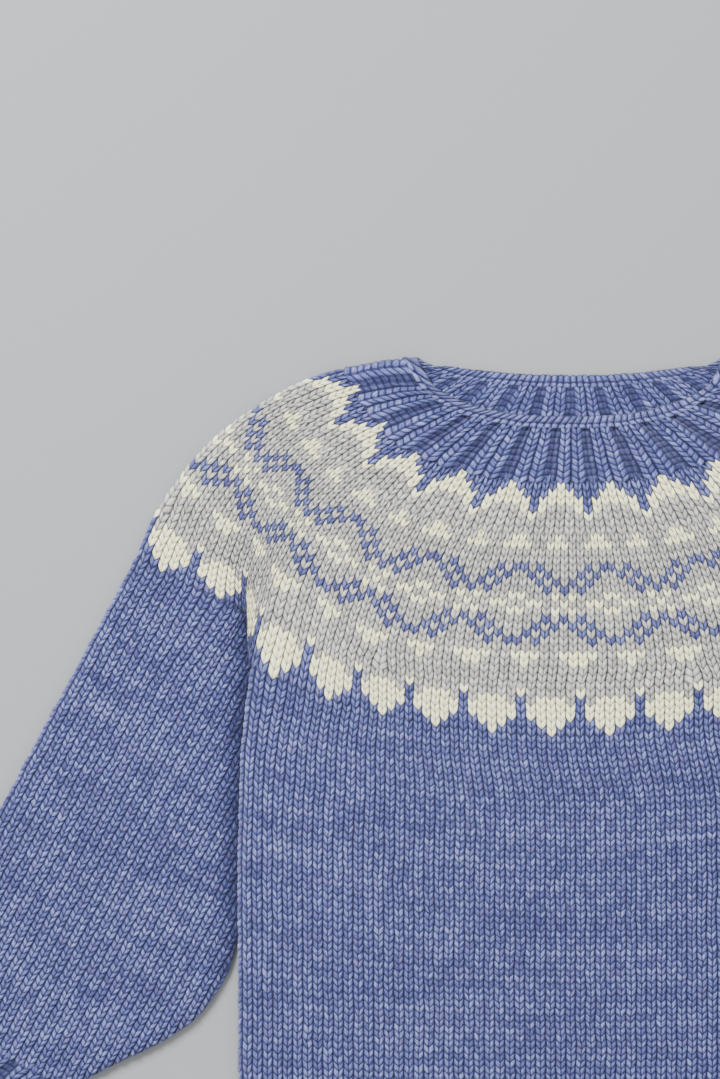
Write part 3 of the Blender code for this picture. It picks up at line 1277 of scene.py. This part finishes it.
    def _face_yarns(self, lines: Lines, rounds: Rounds, down: int) -> Array:
        """The yarn of each face.

        Args:
            lines: the lines down the piece.
            rounds: the lines round its outer skin.
            down: how many rounds of faces there are in all.

        Returns:
            The material number of each face.
        """
        if self.colour is None:
            return np.zeros((down, len(lines.number)), np.int32)
        last = self.rows - 1
        inner = np.linspace(last, 0, down - len(rounds.row))
        rows = np.concatenate((rounds.row[:-1], [last], inner))
        stitch, row = np.meshgrid(lines.number, np.clip(np.round(rows), 0, last).astype(int))
        return self.colour(stitch, row).astype(np.int32)

    def _weld(self, mesh: bpy.types.Mesh) -> None:
        """Joins the points that meet along a sleeve's inner edge.

        Args:
            mesh: the sleeve's mesh.
        """
        made = bmesh.new()
        made.from_mesh(mesh)
        bmesh.ops.remove_doubles(made, verts=made.verts, dist=self.weld_distance)
        made.to_mesh(mesh)
        made.free()


@dataclass
class EdgeKnitting(Knitting):
    """A cast-off edge: plump grains that lean to the right over a raised chain, and low bumps inside."""

    slant: float = 0.0
    scallop: float = 0.16
    chain_row: int = 1
    # The chain stands higher, and through the loft it is also painted lighter, a painted highlight.
    chain_height: float = 1.3

    def _turns(self, lines: Lines, line: Array, inside: bool) -> Array:
        """Leans the grains of the first row.

        Args:
            lines: the lines down the piece.
            line: how far down each point is, in rows.
            inside: whether this is the inner skin.

        Returns:
            The turns.
        """
        turns = super()._turns(lines, line, inside)
        return turns if inside else turns - self.slant * np.clip(line, 0, 1)

    def _rise(self, lines: Lines, shows_knit: Array) -> Array:
        """How far each grain's crown stands above its sides."""
        return self.scallop * np.sin(np.pi * lines.part)

    def _loft(self, lines: Lines, shows_knit: Array, rounds: Rounds) -> Array:
        """How high the yarn stands at each point.

        Args:
            lines: the lines down the piece.
            shows_knit: whether each one's stitch shows as a knit one on this side.
            rounds: the lines round it.

        Returns:
            The loft: 0 in the gaps and 1 on the grains. It raises the yarn, and the yarns paint shade where
                it is low and highlights where it is high.
        """
        crown = np.sqrt(np.abs(np.sin(np.pi * lines.part)))
        grain = over_stitch(rounds.down, FORM.down, FORM.grain_height)
        chained = shows_knit[None, :] & (rounds.row == self.chain_row)[:, None]
        chain = np.where(chained, self.chain_height, 1.0)
        return crown[None, :] * grain[:, None] * chain * self._plumpness(lines, rounds)


def even_edges(front: int, offset: float = 0.0, skew: float = 0.0) -> Array:
    """Where equal columns start and end over the upper panel.

    Args:
        front: how many there are.
        offset: where the first one starts, in stitches from the left fold.
        skew: how far the middle of the pattern lies to the left, in turns.

    Returns:
        Their edges, in turns.
    """
    even = (np.arange(front + 1) + offset) / front
    return even - skew * np.sin(np.pi * even)


def drift_between(edges: Array, others: Array, first: float, last: float) -> Drifting:
    """Lets columns move sideways as they run down.

    Args:
        edges: where they start and end at first, in turns over the upper panel.
        others: where they start and end in the end.
        first: the row at which they begin to move.
        last: the row from which they stay.

    Returns:
        The turn of any line at any row.
    """

    def drift(turn: Array, line: Array) -> Array:
        """Moves the columns.

        Args:
            turn: where the lines start.
            line: how far down each place is, in rows.

        Returns:
            Where they lie there.
        """
        lap = 2 * np.floor((turn - edges[0]) / 2)
        moved = lap + np.interp(turn - lap, np.append(edges, edges[0] + 2), np.append(others, others[0] + 2))
        t = np.clip((line - first) / (last - first), 0, 1)
        return turn + (moved - turn) * t * t * (3 - 2 * t)

    return drift


def settle(edges: Array, rows: int) -> Drifting:
    """Lets columns that start where others end become evenly wide.

    Args:
        edges: where they start and end at first, in turns.
        rows: how many rows they take for it.

    Returns:
        The drift.
    """
    return drift_between(edges, np.linspace(edges[0], edges[-1], len(edges)), 0, rows)


def knit_columns(edges: Array, wrap: int = 3) -> list[Column]:
    """Knit columns all round a tube, with as many on the lower panel as on the upper one.

    Args:
        edges: where those of the upper panel start and end, in turns.
        wrap: how many columns past each fold are made in full.

    Returns:
        The columns, from the middle of the lower panel and round.
    """
    front = len(edges) - 1
    below = np.linspace(edges[-1], edges[0] + 2, front + 1)
    starts = np.concatenate((edges, below[1:-1]))

    def edge(k: int) -> float:
        """The start of a column, counted on past the lap if need be."""
        return float(starts[k % (2 * front)]) + 2 * (k // (2 * front))

    columns = []
    for k in range(-front // 2, 2 * front - front // 2):
        start, end = edge(k), edge(k + 1)
        columns.append(Column(start, end, start, end, k, Stitch.KNIT, -wrap <= k < front + wrap))
    return columns


def rib_columns(ribs: int, knit_share: float = 0.36, wrap: int = 1) -> list[Column]:
    """Columns of knit two, purl two all round a tube, with a raised rib on each fold.

    Inside, the stitches that are purl outside show as knit ones, and are as wide.

    Args:
        ribs: how many there are on the upper panel.
        knit_share: the width of one knit column, as a share of a whole rib.
        wrap: how many ribs past each fold are made in full.

    Returns:
        The columns, from the middle of the lower panel and round.
    """
    purl_share = 0.5 - knit_share
    outside = (-knit_share, 0.0, knit_share, 0.5, 1 - knit_share)
    inside = (-purl_share, 0.0, purl_share, 0.5, 1 - purl_share)
    kinds = (Stitch.KNIT, Stitch.KNIT, Stitch.PURL, Stitch.PURL)
    columns = []
    for rib in range(-ribs // 2, 2 * ribs - ribs // 2):
        fine = -wrap <= rib <= ribs + wrap
        for place, kind in enumerate(kinds):
            edges = (outside[place], outside[place + 1], inside[place], inside[place + 1])
            columns.append(Column(*((rib + edge) / ribs for edge in edges), 4 * rib + place, kind, fine))
    return columns


def rib_relief(ribs: int, depth: float, flank: float = 0.27, crown: float = 0.25) -> Relief:
    """The height of the ribs over a flat wall.

    Args:
        ribs: how many there are on the panel.
        depth: how far the gutters lie below the crowns.
        flank: how far a flank reaches from its gutter's middle, as a share of a rib.
        crown: how much of the depth stands above the wall.

    Returns:
        The relief.
    """

    def relief(turn: Array, share: Array, place: Array) -> Array:
        """Rounded crowns with a gutter between each two."""
        rounded = np.clip(np.abs((turn * ribs) % 1 - 0.5) / flank, 0, 1)
        return depth * (np.sin(rounded * np.pi / 2) - (1 - crown))

    return relief


# The pieces


@dataclass
class Piece:
    """A piece of the garment, which stands for one solid of the frame."""

    yarns: list[bpy.types.Material]
    slot: str = "blue_wool"

    def dress(
        self, made: bpy.types.Object, node: str, flat: tuple[float, float], area: float | None = None
    ) -> None:
        """Attaches a finished piece to the root body, hides the solid that it stands for, and logs its faces.

        Args:
            made: the piece.
            node: the solid that it stands for.
            flat: the cut's width, all round, and its length; not used.
            area: the cut's area where it isn't a rectangle; not used.
        """
        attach(made, "root")
        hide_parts(node)
        log.info("%s: %d faces", made.name, len(made.data.polygons))


@dataclass
class NeckEdge(Piece):
    """The narrow rolled edge round the neck."""

    ribs: int = 12
    grains: int = 4
    rows: int = 2
    slant: float = 0.8
    grain_share: float = 0.62
    wall: float = 2.8 * MM
    swell: float = 0.2 * MM
    round_it: float = 0.372
    cut: float = 11.0 * MM

    def build(self) -> None:
        """Builds the rolled edge."""

        def path(at: Array, share: Array, lower: Array) -> Array:
            """The yoke's own paths, with the grains longer than the chain."""
            down = np.interp(share, (-1.0, 0.0, 0.5, 1.0, 2.0), (-1.0, 0.0, self.grain_share, 1.0, 2.0))
            return OUTLINE.wale_point(at, down * OUTLINE.edge_end, lower)

        tube = FlatTube(path, wall=self.wall, swell=self.swell)
        front = self.grains * self.ribs
        columns = knit_columns(even_edges(front), wrap=front)
        slant = self.slant / front
        knitting = EdgeKnitting(tube, columns, self.rows, tucked_rows=0, seed=3, lined=True, slant=slant)
        made = knitting.mesh("neck_edge_knit", self.yarns[:1])
        self.dress(made, "neck_edge", (self.round_it, self.cut))


@dataclass
class NeckRib(Piece):
    """The ribbed neck."""

    ribs: int = 12
    rows: int = 9
    knit_share: float = 0.365
    relief: float = 1.3 * MM
    flank: float = 0.2
    # How high purl stitches stand in the gutters; through the loft it also paints them in shade.
    gutter: float = 0.7
    swell: float = 0.2 * MM
    round_it: float = 0.446
    length: float = 26.0 * MM

    def build(self) -> None:
        """Builds the ribbing."""

        def path(at: Array, share: Array, lower: Array) -> Array:
            """The yoke's own paths, from the edge to the end of the ribs."""
            level = OUTLINE.edge_end + share * (OUTLINE.rib_end - OUTLINE.edge_end)
            return OUTLINE.wale_point(at, level, lower)

        tube = FlatTube(path, swell=self.swell, relief=rib_relief(self.ribs, self.relief, self.flank))
        columns = rib_columns(self.ribs, self.knit_share, wrap=self.ribs)
        knitting = Knitting(tube, columns, self.rows, seed=11, gutter=self.gutter, lined=True)
        made = knitting.mesh("neck_rib_knit", self.yarns[:1])
        self.dress(made, "neck_rib", (self.round_it, self.length))


@dataclass(frozen=True)
class Chart:
    """A colour chart of B, G and W for the three yarns, a line for each row from the neck down."""

    lines: tuple[str, ...]
    first_column: int = 0

    def yarn(self, stitch: Array, row: Array) -> Array:
        """Reads the chart.

        Args:
            stitch: the columns.
            row: the rows, counted from the chart's first.

        Returns:
            The number of each stitch's yarn.
        """
        cells = np.array([[LETTERS[letter].value for letter in line] for line in self.lines])
        return cells[row, (stitch - self.first_column) % cells.shape[1]]


@dataclass(frozen=True)
class Band:
    """A band of the yoke, with the stitches of its upper panel and the turns that its columns start from."""

    name: str
    first: int
    stitches: int
    offset: float
    skew: float
    flat: tuple[float, float]
    chart: Chart
    joins_base: bool = False

    def rows(self) -> int:
        """How many rows it has."""
        return len(self.chart.lines)

    def edges(self) -> Array:
        """Where its columns start and end, in turns."""
        return even_edges(self.stitches, self.offset, self.skew)


UPPER_BAND = Band(
    "yoke_upper",
    first=0,
    stitches=66,
    offset=-0.5,
    skew=0.0167,
    flat=(0.62, 0.0255),
    chart=Chart(
        (
            "BBBWBB",
            "BBWWWB",
            "BWWWWW",
            "BWGGGW",
            "WGGGGG",
            "GGGGGG",
            "GGGGGG",
        )
    ),
)
MIDDLE_BAND = Band(
    "yoke_middle",
    first=7,
    stitches=99,
    offset=0.0,
    skew=0.0078,
    flat=(0.77, 0.0741),
    chart=Chart(
        (
            "GGGGWWGGGGW",
            "WGGWWWWGGWW",
            "GGGGGGGGGGG",
            "GGGGGGGGGGG",
            "GGGBGBBGBGG",
            "GGBGBGGBGBG",
            "GBGBGGGGBGB",
            "BGBGGGGGGBG",
            "GWGGGWWGGGW",
            "WGGWWGGWWGG",
            "GWGGGWWGGGW",
            "BGBGGGGGGBG",
            "GBGBGGGGBGB",
            "GGBGBGGBGBG",
            "GGGBGBBGBGG",
            "GGGGGGGGGGG",
            "WWWWGGWWWGG",
            "GWWGGGGWGGG",
            "GGGGGGGGGGG",
            "GGGGGGGGGGG",
            "GGGGGGGGGGG",
        ),
        first_column=5,
    ),
    joins_base=True,
)
LOWER_BAND = Band(
    "yoke_lower",
    first=28,
    stitches=OUTLINE.base_stitches,
    offset=OUTLINE.base_offset,
    skew=OUTLINE.base_skew,
    flat=(0.95, 0.021),
    chart=Chart(
        (
            "WGGGGG",
            "BGWWWG",
            "BWWWWW",
            "BWWWWW",
            "BBWWWB",
            "BBBWBB",
        )
    ),
)


@dataclass
class Yoke(Piece):
    """The round patterned yoke, in three bands with more stitches the further they are from the neck."""

    slot: str = "yoke_wool"
    bands: tuple[Band, ...] = (UPPER_BAND, MIDDLE_BAND, LOWER_BAND)
    joining_rows: int = 3
    inner_rows: int = 4
    wall: float = 2.9 * MM
    plain_wall: float = 2.6 * MM
    thickening: float = 3.0
    crease_depth: float = 1.5 * MM
    crease_step: float = 0.45 * MM
    crease_step_reach: float = 3.0
    crease_half_width: float = 6.0 * MM
    crease_starts: float = 138.0 * MM
    crease_full: float = 92.0 * MM
    # How dark the painted shade along the creases is.
    painted_crease_shade: float = 0.3

    def thinning(self, level: Array) -> Array:
        """How far the upper skin dips towards the yoke's rims, where it is as thin as the plain pieces.

        Args:
            level: how far down the yoke each place is.

        Returns:
            The relief.
        """
        middle = 1 - np.abs(2 * (level - OUTLINE.rib_end) / (1 - OUTLINE.rib_end) - 1)
        return 2 * (self.plain_wall - self.wall) * (1 - np.clip(self.thickening * middle, 0, 1))

    def crease_relief(self, place: Array) -> Array:
        """How far the upper skin dips along the creases between the body and the sleeves.

        Args:
            place: the places' x and y.

        Returns:
            The relief.
        """
        x, y = -np.abs(place[..., 0]), place[..., 1]
        line = OUTLINE.crease.read(y, "y", "x")
        strength = np.clip((self.crease_starts - y) / (self.crease_starts - self.crease_full), 0, 1)
        off = (x - line) / self.crease_half_width
        trough = self.crease_depth * np.exp(-(off**2))
        step = self.crease_step * np.tanh(off) * np.exp(-np.abs(off) / self.crease_step_reach)
        return strength * (step - trough)

    def crease_shade(self, place: Array) -> Array:
        """How much shade is painted into the yarn along the creases between the body and the sleeves.

        Args:
            place: the places' x and y.

        Returns:
            The shade, from 0 to 1.
        """
        return self.painted_crease_shade * np.clip(-self.crease_relief(place) / self.crease_depth, 0, 1)

    def build(self) -> None:
        """Builds the three bands."""
        for band in self.bands:
            self.build_band(band)

    def build_band(self, band: Band) -> None:
        """Builds one band.

        Args:
            band: which one.
        """
        rows = band.rows()
        level_of_row = (1 - OUTLINE.rib_end) / sum(each.rows() for each in self.bands)
        top = OUTLINE.rib_end + band.first * level_of_row
        depth = rows * level_of_row

        def path(at: Array, share: Array, lower: Array) -> Array:
            """The garment's own paths, over this band's part of the yoke."""
            return OUTLINE.wale_point(at, top + share * depth, lower)

        def relief(turn: Array, share: Array, place: Array) -> Array:
            """The thinner rims and the two creases."""
            return self.thinning(top + share * depth) + self.crease_relief(place)

        tube = FlatTube(path, wall=self.wall, relief=relief)
        edges = band.edges()
        knitting = Knitting(
            tube,
            knit_columns(edges),
            rows,
            seed=20 + band.first,
            colour=band.chart.yarn,
            inner_rows=self.inner_rows,
            drift=self.joining(edges, rows) if band.joins_base else None,
            # Painted shade along the creases beside the sleeves.
            crease=self.crease_shade,
        )
        self.dress(knitting.mesh(band.name, self.yarns), "yoke", band.flat)

    def joining(self, edges: Array, rows: int) -> Drifting:
        """Lets a band's last rows settle onto the columns of the band below.

        Args:
            edges: where its own columns start and end, in turns.
            rows: how many rows it has.

        Returns:
            The drift.
        """
        below = base_edges()
        nearest = below[np.abs(below[:, None] - edges[None, :]).argmin(axis=0)]
        return drift_between(edges, nearest, rows - self.joining_rows, rows)


@dataclass
class Body(Piece):
    """The plain tube below the yoke."""

    rows: int = 60
    settling_rows: int = 12
    round_it: float = 0.626
    length: float = 0.19
    base_places: int = 801
    turn_places: int = 2001

    def path(self, at: Array, share: Array, lower: Array) -> Array:
        """Where the body's rows lie: like the yoke's base at the top, and straight at the hem.

        Args:
            at: 0 at the left fold and 1 at the right one.
            share: 0 at the yoke and 1 at the hem.
            lower: true on the lower panel.

        Returns:
            The x and y of each place.
        """
        turns = np.linspace(OUTLINE.corner_turn, 1 - OUTLINE.corner_turn, self.base_places)
        ones = np.ones(len(turns))
        upper_base = OUTLINE.wale_point(turns, ones, ones < 0)
        lower_base = OUTLINE.wale_point(turns, ones, ones > 0)
        corner_x, corner_y = upper_base[0]
        hem_top = OUTLINE.hem_rib - OUTLINE.top
        side = OUTLINE.body_side.read((1 - share) * corner_y + share * hem_top, "y", "x")
        x = (1 - 2 * at) * corner_x
        upper_y = np.interp(x, upper_base[:, 0], upper_base[:, 1])
        lower_y = np.interp(x, lower_base[:, 0], lower_base[:, 1])
        base_y = np.where(lower, lower_y, upper_y)
        y = (1 - share) * base_y + share * hem_top
        return np.stack(((1 - 2 * at) * side, y), axis=-1)

    def edges(self) -> Array:
        """Where the columns start and end over the upper panel, which is where the yoke's own arrive.

        Returns:
            The edges, in turns.
        """
        turns = np.linspace(0, 1, self.turn_places)
        x = OUTLINE.wale_point(turns, np.ones(len(turns)), np.zeros(len(turns), bool))[:, 0]
        corner_x = np.interp(OUTLINE.corner_turn, turns, x)
        edges = base_edges()
        edges = edges[np.abs(edges - 0.5) < 0.5 - OUTLINE.corner_turn]
        across = (1 - np.interp(edges, turns, x) / corner_x) / 2
        return np.concatenate(([2 * across[0] - across[1]], across, [2 * across[-1] - across[-2]]))

    def build(self) -> None:
        """Builds the body."""
        edges = self.edges()
        drift = settle(edges, self.settling_rows)
        knitting = Knitting(FlatTube(self.path), knit_columns(edges), self.rows, seed=31, drift=drift)
        self.dress(knitting.mesh("body_knit", self.yarns[:1]), "body", (self.round_it, self.length))


@dataclass
class HemRib(Piece):
    """The ribbed hem."""

    ribs: int = 17
    rows: int = 15
    relief: float = 1.2 * MM
    swell: float = 0.2 * MM
    round_it: float = 0.62
    half_widths: Table = Table(("share", "x"), ((0.0, 156.0), (250.0, 152.5), (1000.0, 151.0)))

    def build(self) -> None:
        """Builds the hem."""
        top = OUTLINE.hem_rib - OUTLINE.top

        def path(at: Array, share: Array, lower: Array) -> Array:
            """Straight rows, drawn in a little."""
            half = self.half_widths.read(share, "share", "x")
            return np.stack(((2 * at - 1) * half, top - share * OUTLINE.hem_rib), axis=-1)

        tube = FlatTube(path, swell=self.swell, relief=rib_relief(self.ribs, self.relief))
        knitting = Knitting(tube, rib_columns(self.ribs), self.rows, seed=41)
        made = knitting.mesh("hem_rib_knit", self.yarns[:1])
        self.dress(made, "hem_rib", (self.round_it, OUTLINE.hem_rib))


@dataclass
class Sleeve(Piece):
    """A plain sleeve and its ribbed cuff. Its columns run down its outer edge and end at its inner one."""

    side: int = 1
    start: tuple[float, float] = (-205.1 * MM, 109.0 * MM)
    lean: float = math.radians(28.4)
    clearance: float = -0.5 * MM
    crease_depth: float = 1.9 * MM
    crease_half_width: float = 7.0 * MM
    # How dark the painted shade in the crease beside the body is.
    painted_crease_shade: float = 0.5
    leaves_body: float = 135.0 * MM
    end: float = 235.5 * MM
    most: float = 132.0 * MM
    mean: float = 100.0 * MM
    beyond_top: float = 30.0 * MM
    beyond_end: float = 5.0 * MM
    measured_places: int = 400
    width_rounds: int = 6
    from_yoke: int = 13
    added: int = 16
    rows: int = 75
    settling_rows: int = 14
    swell: float = 0.3 * MM
    fade: float = 1.5 * MM
    form: Table = Table(
        ("along", "inset", "width"),
        (
            (0.0, 0.0, 59.3),
            (131.0, 0.0, 126.5),
            (152.0, 0.2, 131.5),
            (170.0, 0.4, 130.0),
            (190.0, 0.8, 121.5),
            (212.0, 1.6, 106.0),
            (235.5, 3.0, 90.0),
        ),
    )
    cuff_form: Table = Table(
        ("along", "inset", "width"),
        (
            (235.9, 3.6, 88.0),
            (243.0, 4.8, 83.5),
            (258.0, 5.2, 81.5),
            (281.0, 4.8, 82.0),
        ),
    )
    cuff_ribs: int = 5
    cuff_rows: int = 14
    cuff_relief: float = 1.2 * MM
    cuff_swell: float = 0.2 * MM
    cuff_round: float = 0.16

    def name(self) -> str:
        """Which side it is on."""
        return "left" if self.side > 0 else "right"

    def place(self, along: Array, reach: Array) -> Array:
        """A place on the sleeve.

        Args:
            along: how far down its outer edge.
            reach: how far from that edge.

        Returns:
            The x and y.
        """
        x = self.start[0] - along * math.sin(self.lean) + reach * math.cos(self.lean)
        y = self.start[1] - along * math.cos(self.lean) - reach * math.sin(self.lean)
        return np.stack((x, y), axis=-1)

    def width(self, along: Array) -> Array:
        """How far the inner edge is from the outer one.

        Args:
            along: how far down the outer edge.

        Returns:
            The widths.
        """
        free = self.form.read(along, "along", "width")
        width = free
        for _ in range(self.width_rounds):
            end = self.place(along, width)
            edge = OUTLINE.side_of_body(end[..., 1]) - self.clearance
            beside = (edge - self.place(along, np.zeros(np.shape(along)))[..., 0]) / math.cos(self.lean)
            width = np.where(along < self.leaves_body, beside, free)
        return width

    def edges(self) -> Array:
        """Where the columns start and end over the upper panel: the yoke's own first, then some more.

        Returns:
            The edges, in turns.
        """
        turns = np.clip(base_edges()[: self.from_yoke + 1], 0, 1)
        places = OUTLINE.wale_point(turns, np.ones(len(turns)), np.zeros(len(turns), bool))
        reach = np.linalg.norm(places - self.start, axis=-1) / self.most
        reach[0] = 2 * reach[1] - reach[2]
        return np.concatenate((reach, np.linspace(reach[-1], 1, self.added + 1)[1:]))

    def path(self, at: Array, share: Array, lower: Array) -> Array:
        """Where the sleeve's columns lie: beside its outer edge, as far as its inner one.

        Args:
            at: 0 at the outer edge and 1 at the inner one where the sleeve is widest.
            share: 0 at the yoke and 1 at the cuff.
            lower: true on the lower panel.

        Returns:
            The x and y of each place.
        """
        along = share * self.end
        knots = np.linspace(-self.beyond_top, self.end + self.beyond_end, self.measured_places)
        inset = self.form.read(along, "along", "inset")
        reach = np.clip(at * self.most, inset, np.interp(along, knots, self.width(knots)))
        return self.place(along, reach)

    def beside_body(self, place: Array) -> Array:
        """How near places are to the crease beside the body, from 0 to 1."""
        off = (-np.abs(place[..., 0]) - OUTLINE.side_of_body(place[..., 1])) / self.crease_half_width
        return np.exp(-(off**2))

    def relief(self, turn: Array, share: Array, place: Array) -> Array:
        """The trough of that crease."""
        return -self.crease_depth * self.beside_body(place)

    def shade(self, place: Array) -> Array:
        """The shade painted into the yarn in that crease, from 0 to 1."""
        return self.painted_crease_shade * self.beside_body(place)

    def cuff_path(self, at: Array, share: Array, lower: Array) -> Array:
        """Where the cuff's columns lie.

        Args:
            at: 0 at the outer edge and 1 at the inner one.
            share: 0 at the sleeve and 1 at the hand.
            lower: true on the lower panel.

        Returns:
            The x and y of each place.
        """
        first, last = self.cuff_ends()
        along = first + share * (last - first)
        inset = self.cuff_form.read(along, "along", "inset")
        width = self.cuff_form.read(along, "along", "width")
        return self.place(along, inset + at * (width - inset))

    def cuff_ends(self) -> tuple[float, float]:
        """Where the cuff starts and ends along the outer edge."""
        return self.cuff_form.lines[0][0] * MM, self.cuff_form.lines[-1][0] * MM

    def build(self) -> None:
        """Builds the sleeve and its cuff."""
        self.build_sleeve()
        self.build_cuff()

    def build_sleeve(self) -> None:
        """Builds the plain part."""
        tube = FlatTube(self.path, swell=self.swell, relief=self.relief, mirrored=self.side < 0)
        edges = self.edges()
        columns = knit_columns(edges)
        drift = settle(edges, self.settling_rows)
        # The crease beside the body gets painted shade as well as its trough.
        knitting = Knitting(tube, columns, self.rows, seed=51, drift=drift, crease=self.shade, fade=self.fade)
        made = knitting.mesh(f"sleeve_{self.name()}_knit", self.yarns[:1])
        self.dress(made, f"sleeve_{self.name()}", (2 * self.most, self.end), 2 * self.mean * self.end)

    def build_cuff(self) -> None:
        """Builds the ribbed cuff."""
        first, last = self.cuff_ends()
        relief = rib_relief(self.cuff_ribs, self.cuff_relief)
        tube = FlatTube(self.cuff_path, swell=self.cuff_swell, relief=relief, mirrored=self.side < 0)
        knitting = Knitting(tube, rib_columns(self.cuff_ribs), self.cuff_rows, seed=61)
        made = knitting.mesh(f"cuff_{self.name()}_knit", self.yarns[:1])
        self.dress(made, f"cuff_{self.name()}", (self.cuff_round, last - first))


@dataclass
class Studio:
    """The floor, the light and the camera."""

    floor: Backdrop = Backdrop("floor_paper", (0.2530, 0.2585, 0.2660), 0.9)
    floor_half: float = 4.0
    floor_drop: float = 0.05 * MM
    camera_x: float = -98.9 * MM
    camera_y: float = 118.2 * MM
    camera_height: float = 2.0
    view_height: float = 508.2 * MM
    sensor: float = 36.0
    key_power: float = 99.0
    key_size: float = 0.9
    key_place: tuple[float, float, float] = (-0.85, 1.15, 1.5)
    sky: float = 1.27
    sky_colour: Colour = (0.97, 0.985, 1.0)

    def build(self) -> None:
        """Sets up the studio."""
        self.lay_floor()
        self.light()
        self.aim()

    def lay_floor(self) -> None:
        """A pale floor under the garment."""
        half, z = self.floor_half, -self.floor_drop
        corners = [(-half, -half, z), (half, -half, z), (half, half, z), (-half, half, z)]
        mesh = bpy.data.meshes.new("floor")
        mesh.from_pydata(corners, [], [(0, 1, 2, 3)])
        mesh.materials.append(self.floor.build())
        floor = bpy.data.objects.new("floor", mesh)
        bpy.context.scene.collection.objects.link(floor)

    def light(self) -> None:
        """One large soft light from above and an even sky."""
        lamp = bpy.data.lights.new("key", "AREA")
        lamp.shape = "SQUARE"
        lamp.size = self.key_size
        lamp.energy = self.key_power
        key = bpy.data.objects.new("key", lamp)
        bpy.context.scene.collection.objects.link(key)
        key.location = self.key_place
        key.rotation_mode = "QUATERNION"
        key.rotation_quaternion = key.location.to_track_quat("Z", "Y")
        world = bpy.data.worlds.new("studio")
        world.use_nodes = True
        sky = world.node_tree.nodes["Background"]
        sky.inputs["Color"].default_value = opaque(self.sky_colour)
        sky.inputs["Strength"].default_value = self.sky
        bpy.context.scene.world = world

    def aim(self) -> None:
        """A camera that looks straight down."""
        data = bpy.data.cameras.new("camera")
        data.sensor_width = self.sensor
        data.lens = self.sensor * self.camera_height / self.view_height
        camera = bpy.data.objects.new("camera", data)
        camera.location = (self.camera_x, self.camera_y, self.camera_height)
        bpy.context.scene.collection.objects.link(camera)
        bpy.context.scene.camera = camera


def main() -> None:
    """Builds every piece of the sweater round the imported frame, from the neck down."""
    logging.basicConfig(level=logging.INFO, format="%(name)s %(message)s")
    for old in list(bpy.data.objects):
        bpy.data.objects.remove(old)
    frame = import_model()
    log.info("solids %s", ", ".join(sorted(frame["nodes"])))
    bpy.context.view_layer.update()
    Studio().build()
    yarns = [finish.build() for finish in (BLUE_YARN, GREY_YARN, CREAM_YARN)]
    NeckEdge(yarns).build()
    NeckRib(yarns).build()
    Yoke(yarns).build()
    Body(yarns).build()
    HemRib(yarns).build()
    Sleeve(yarns, side=1).build()
    Sleeve(yarns, side=-1).build()


if __name__ == "__main__":
    main()
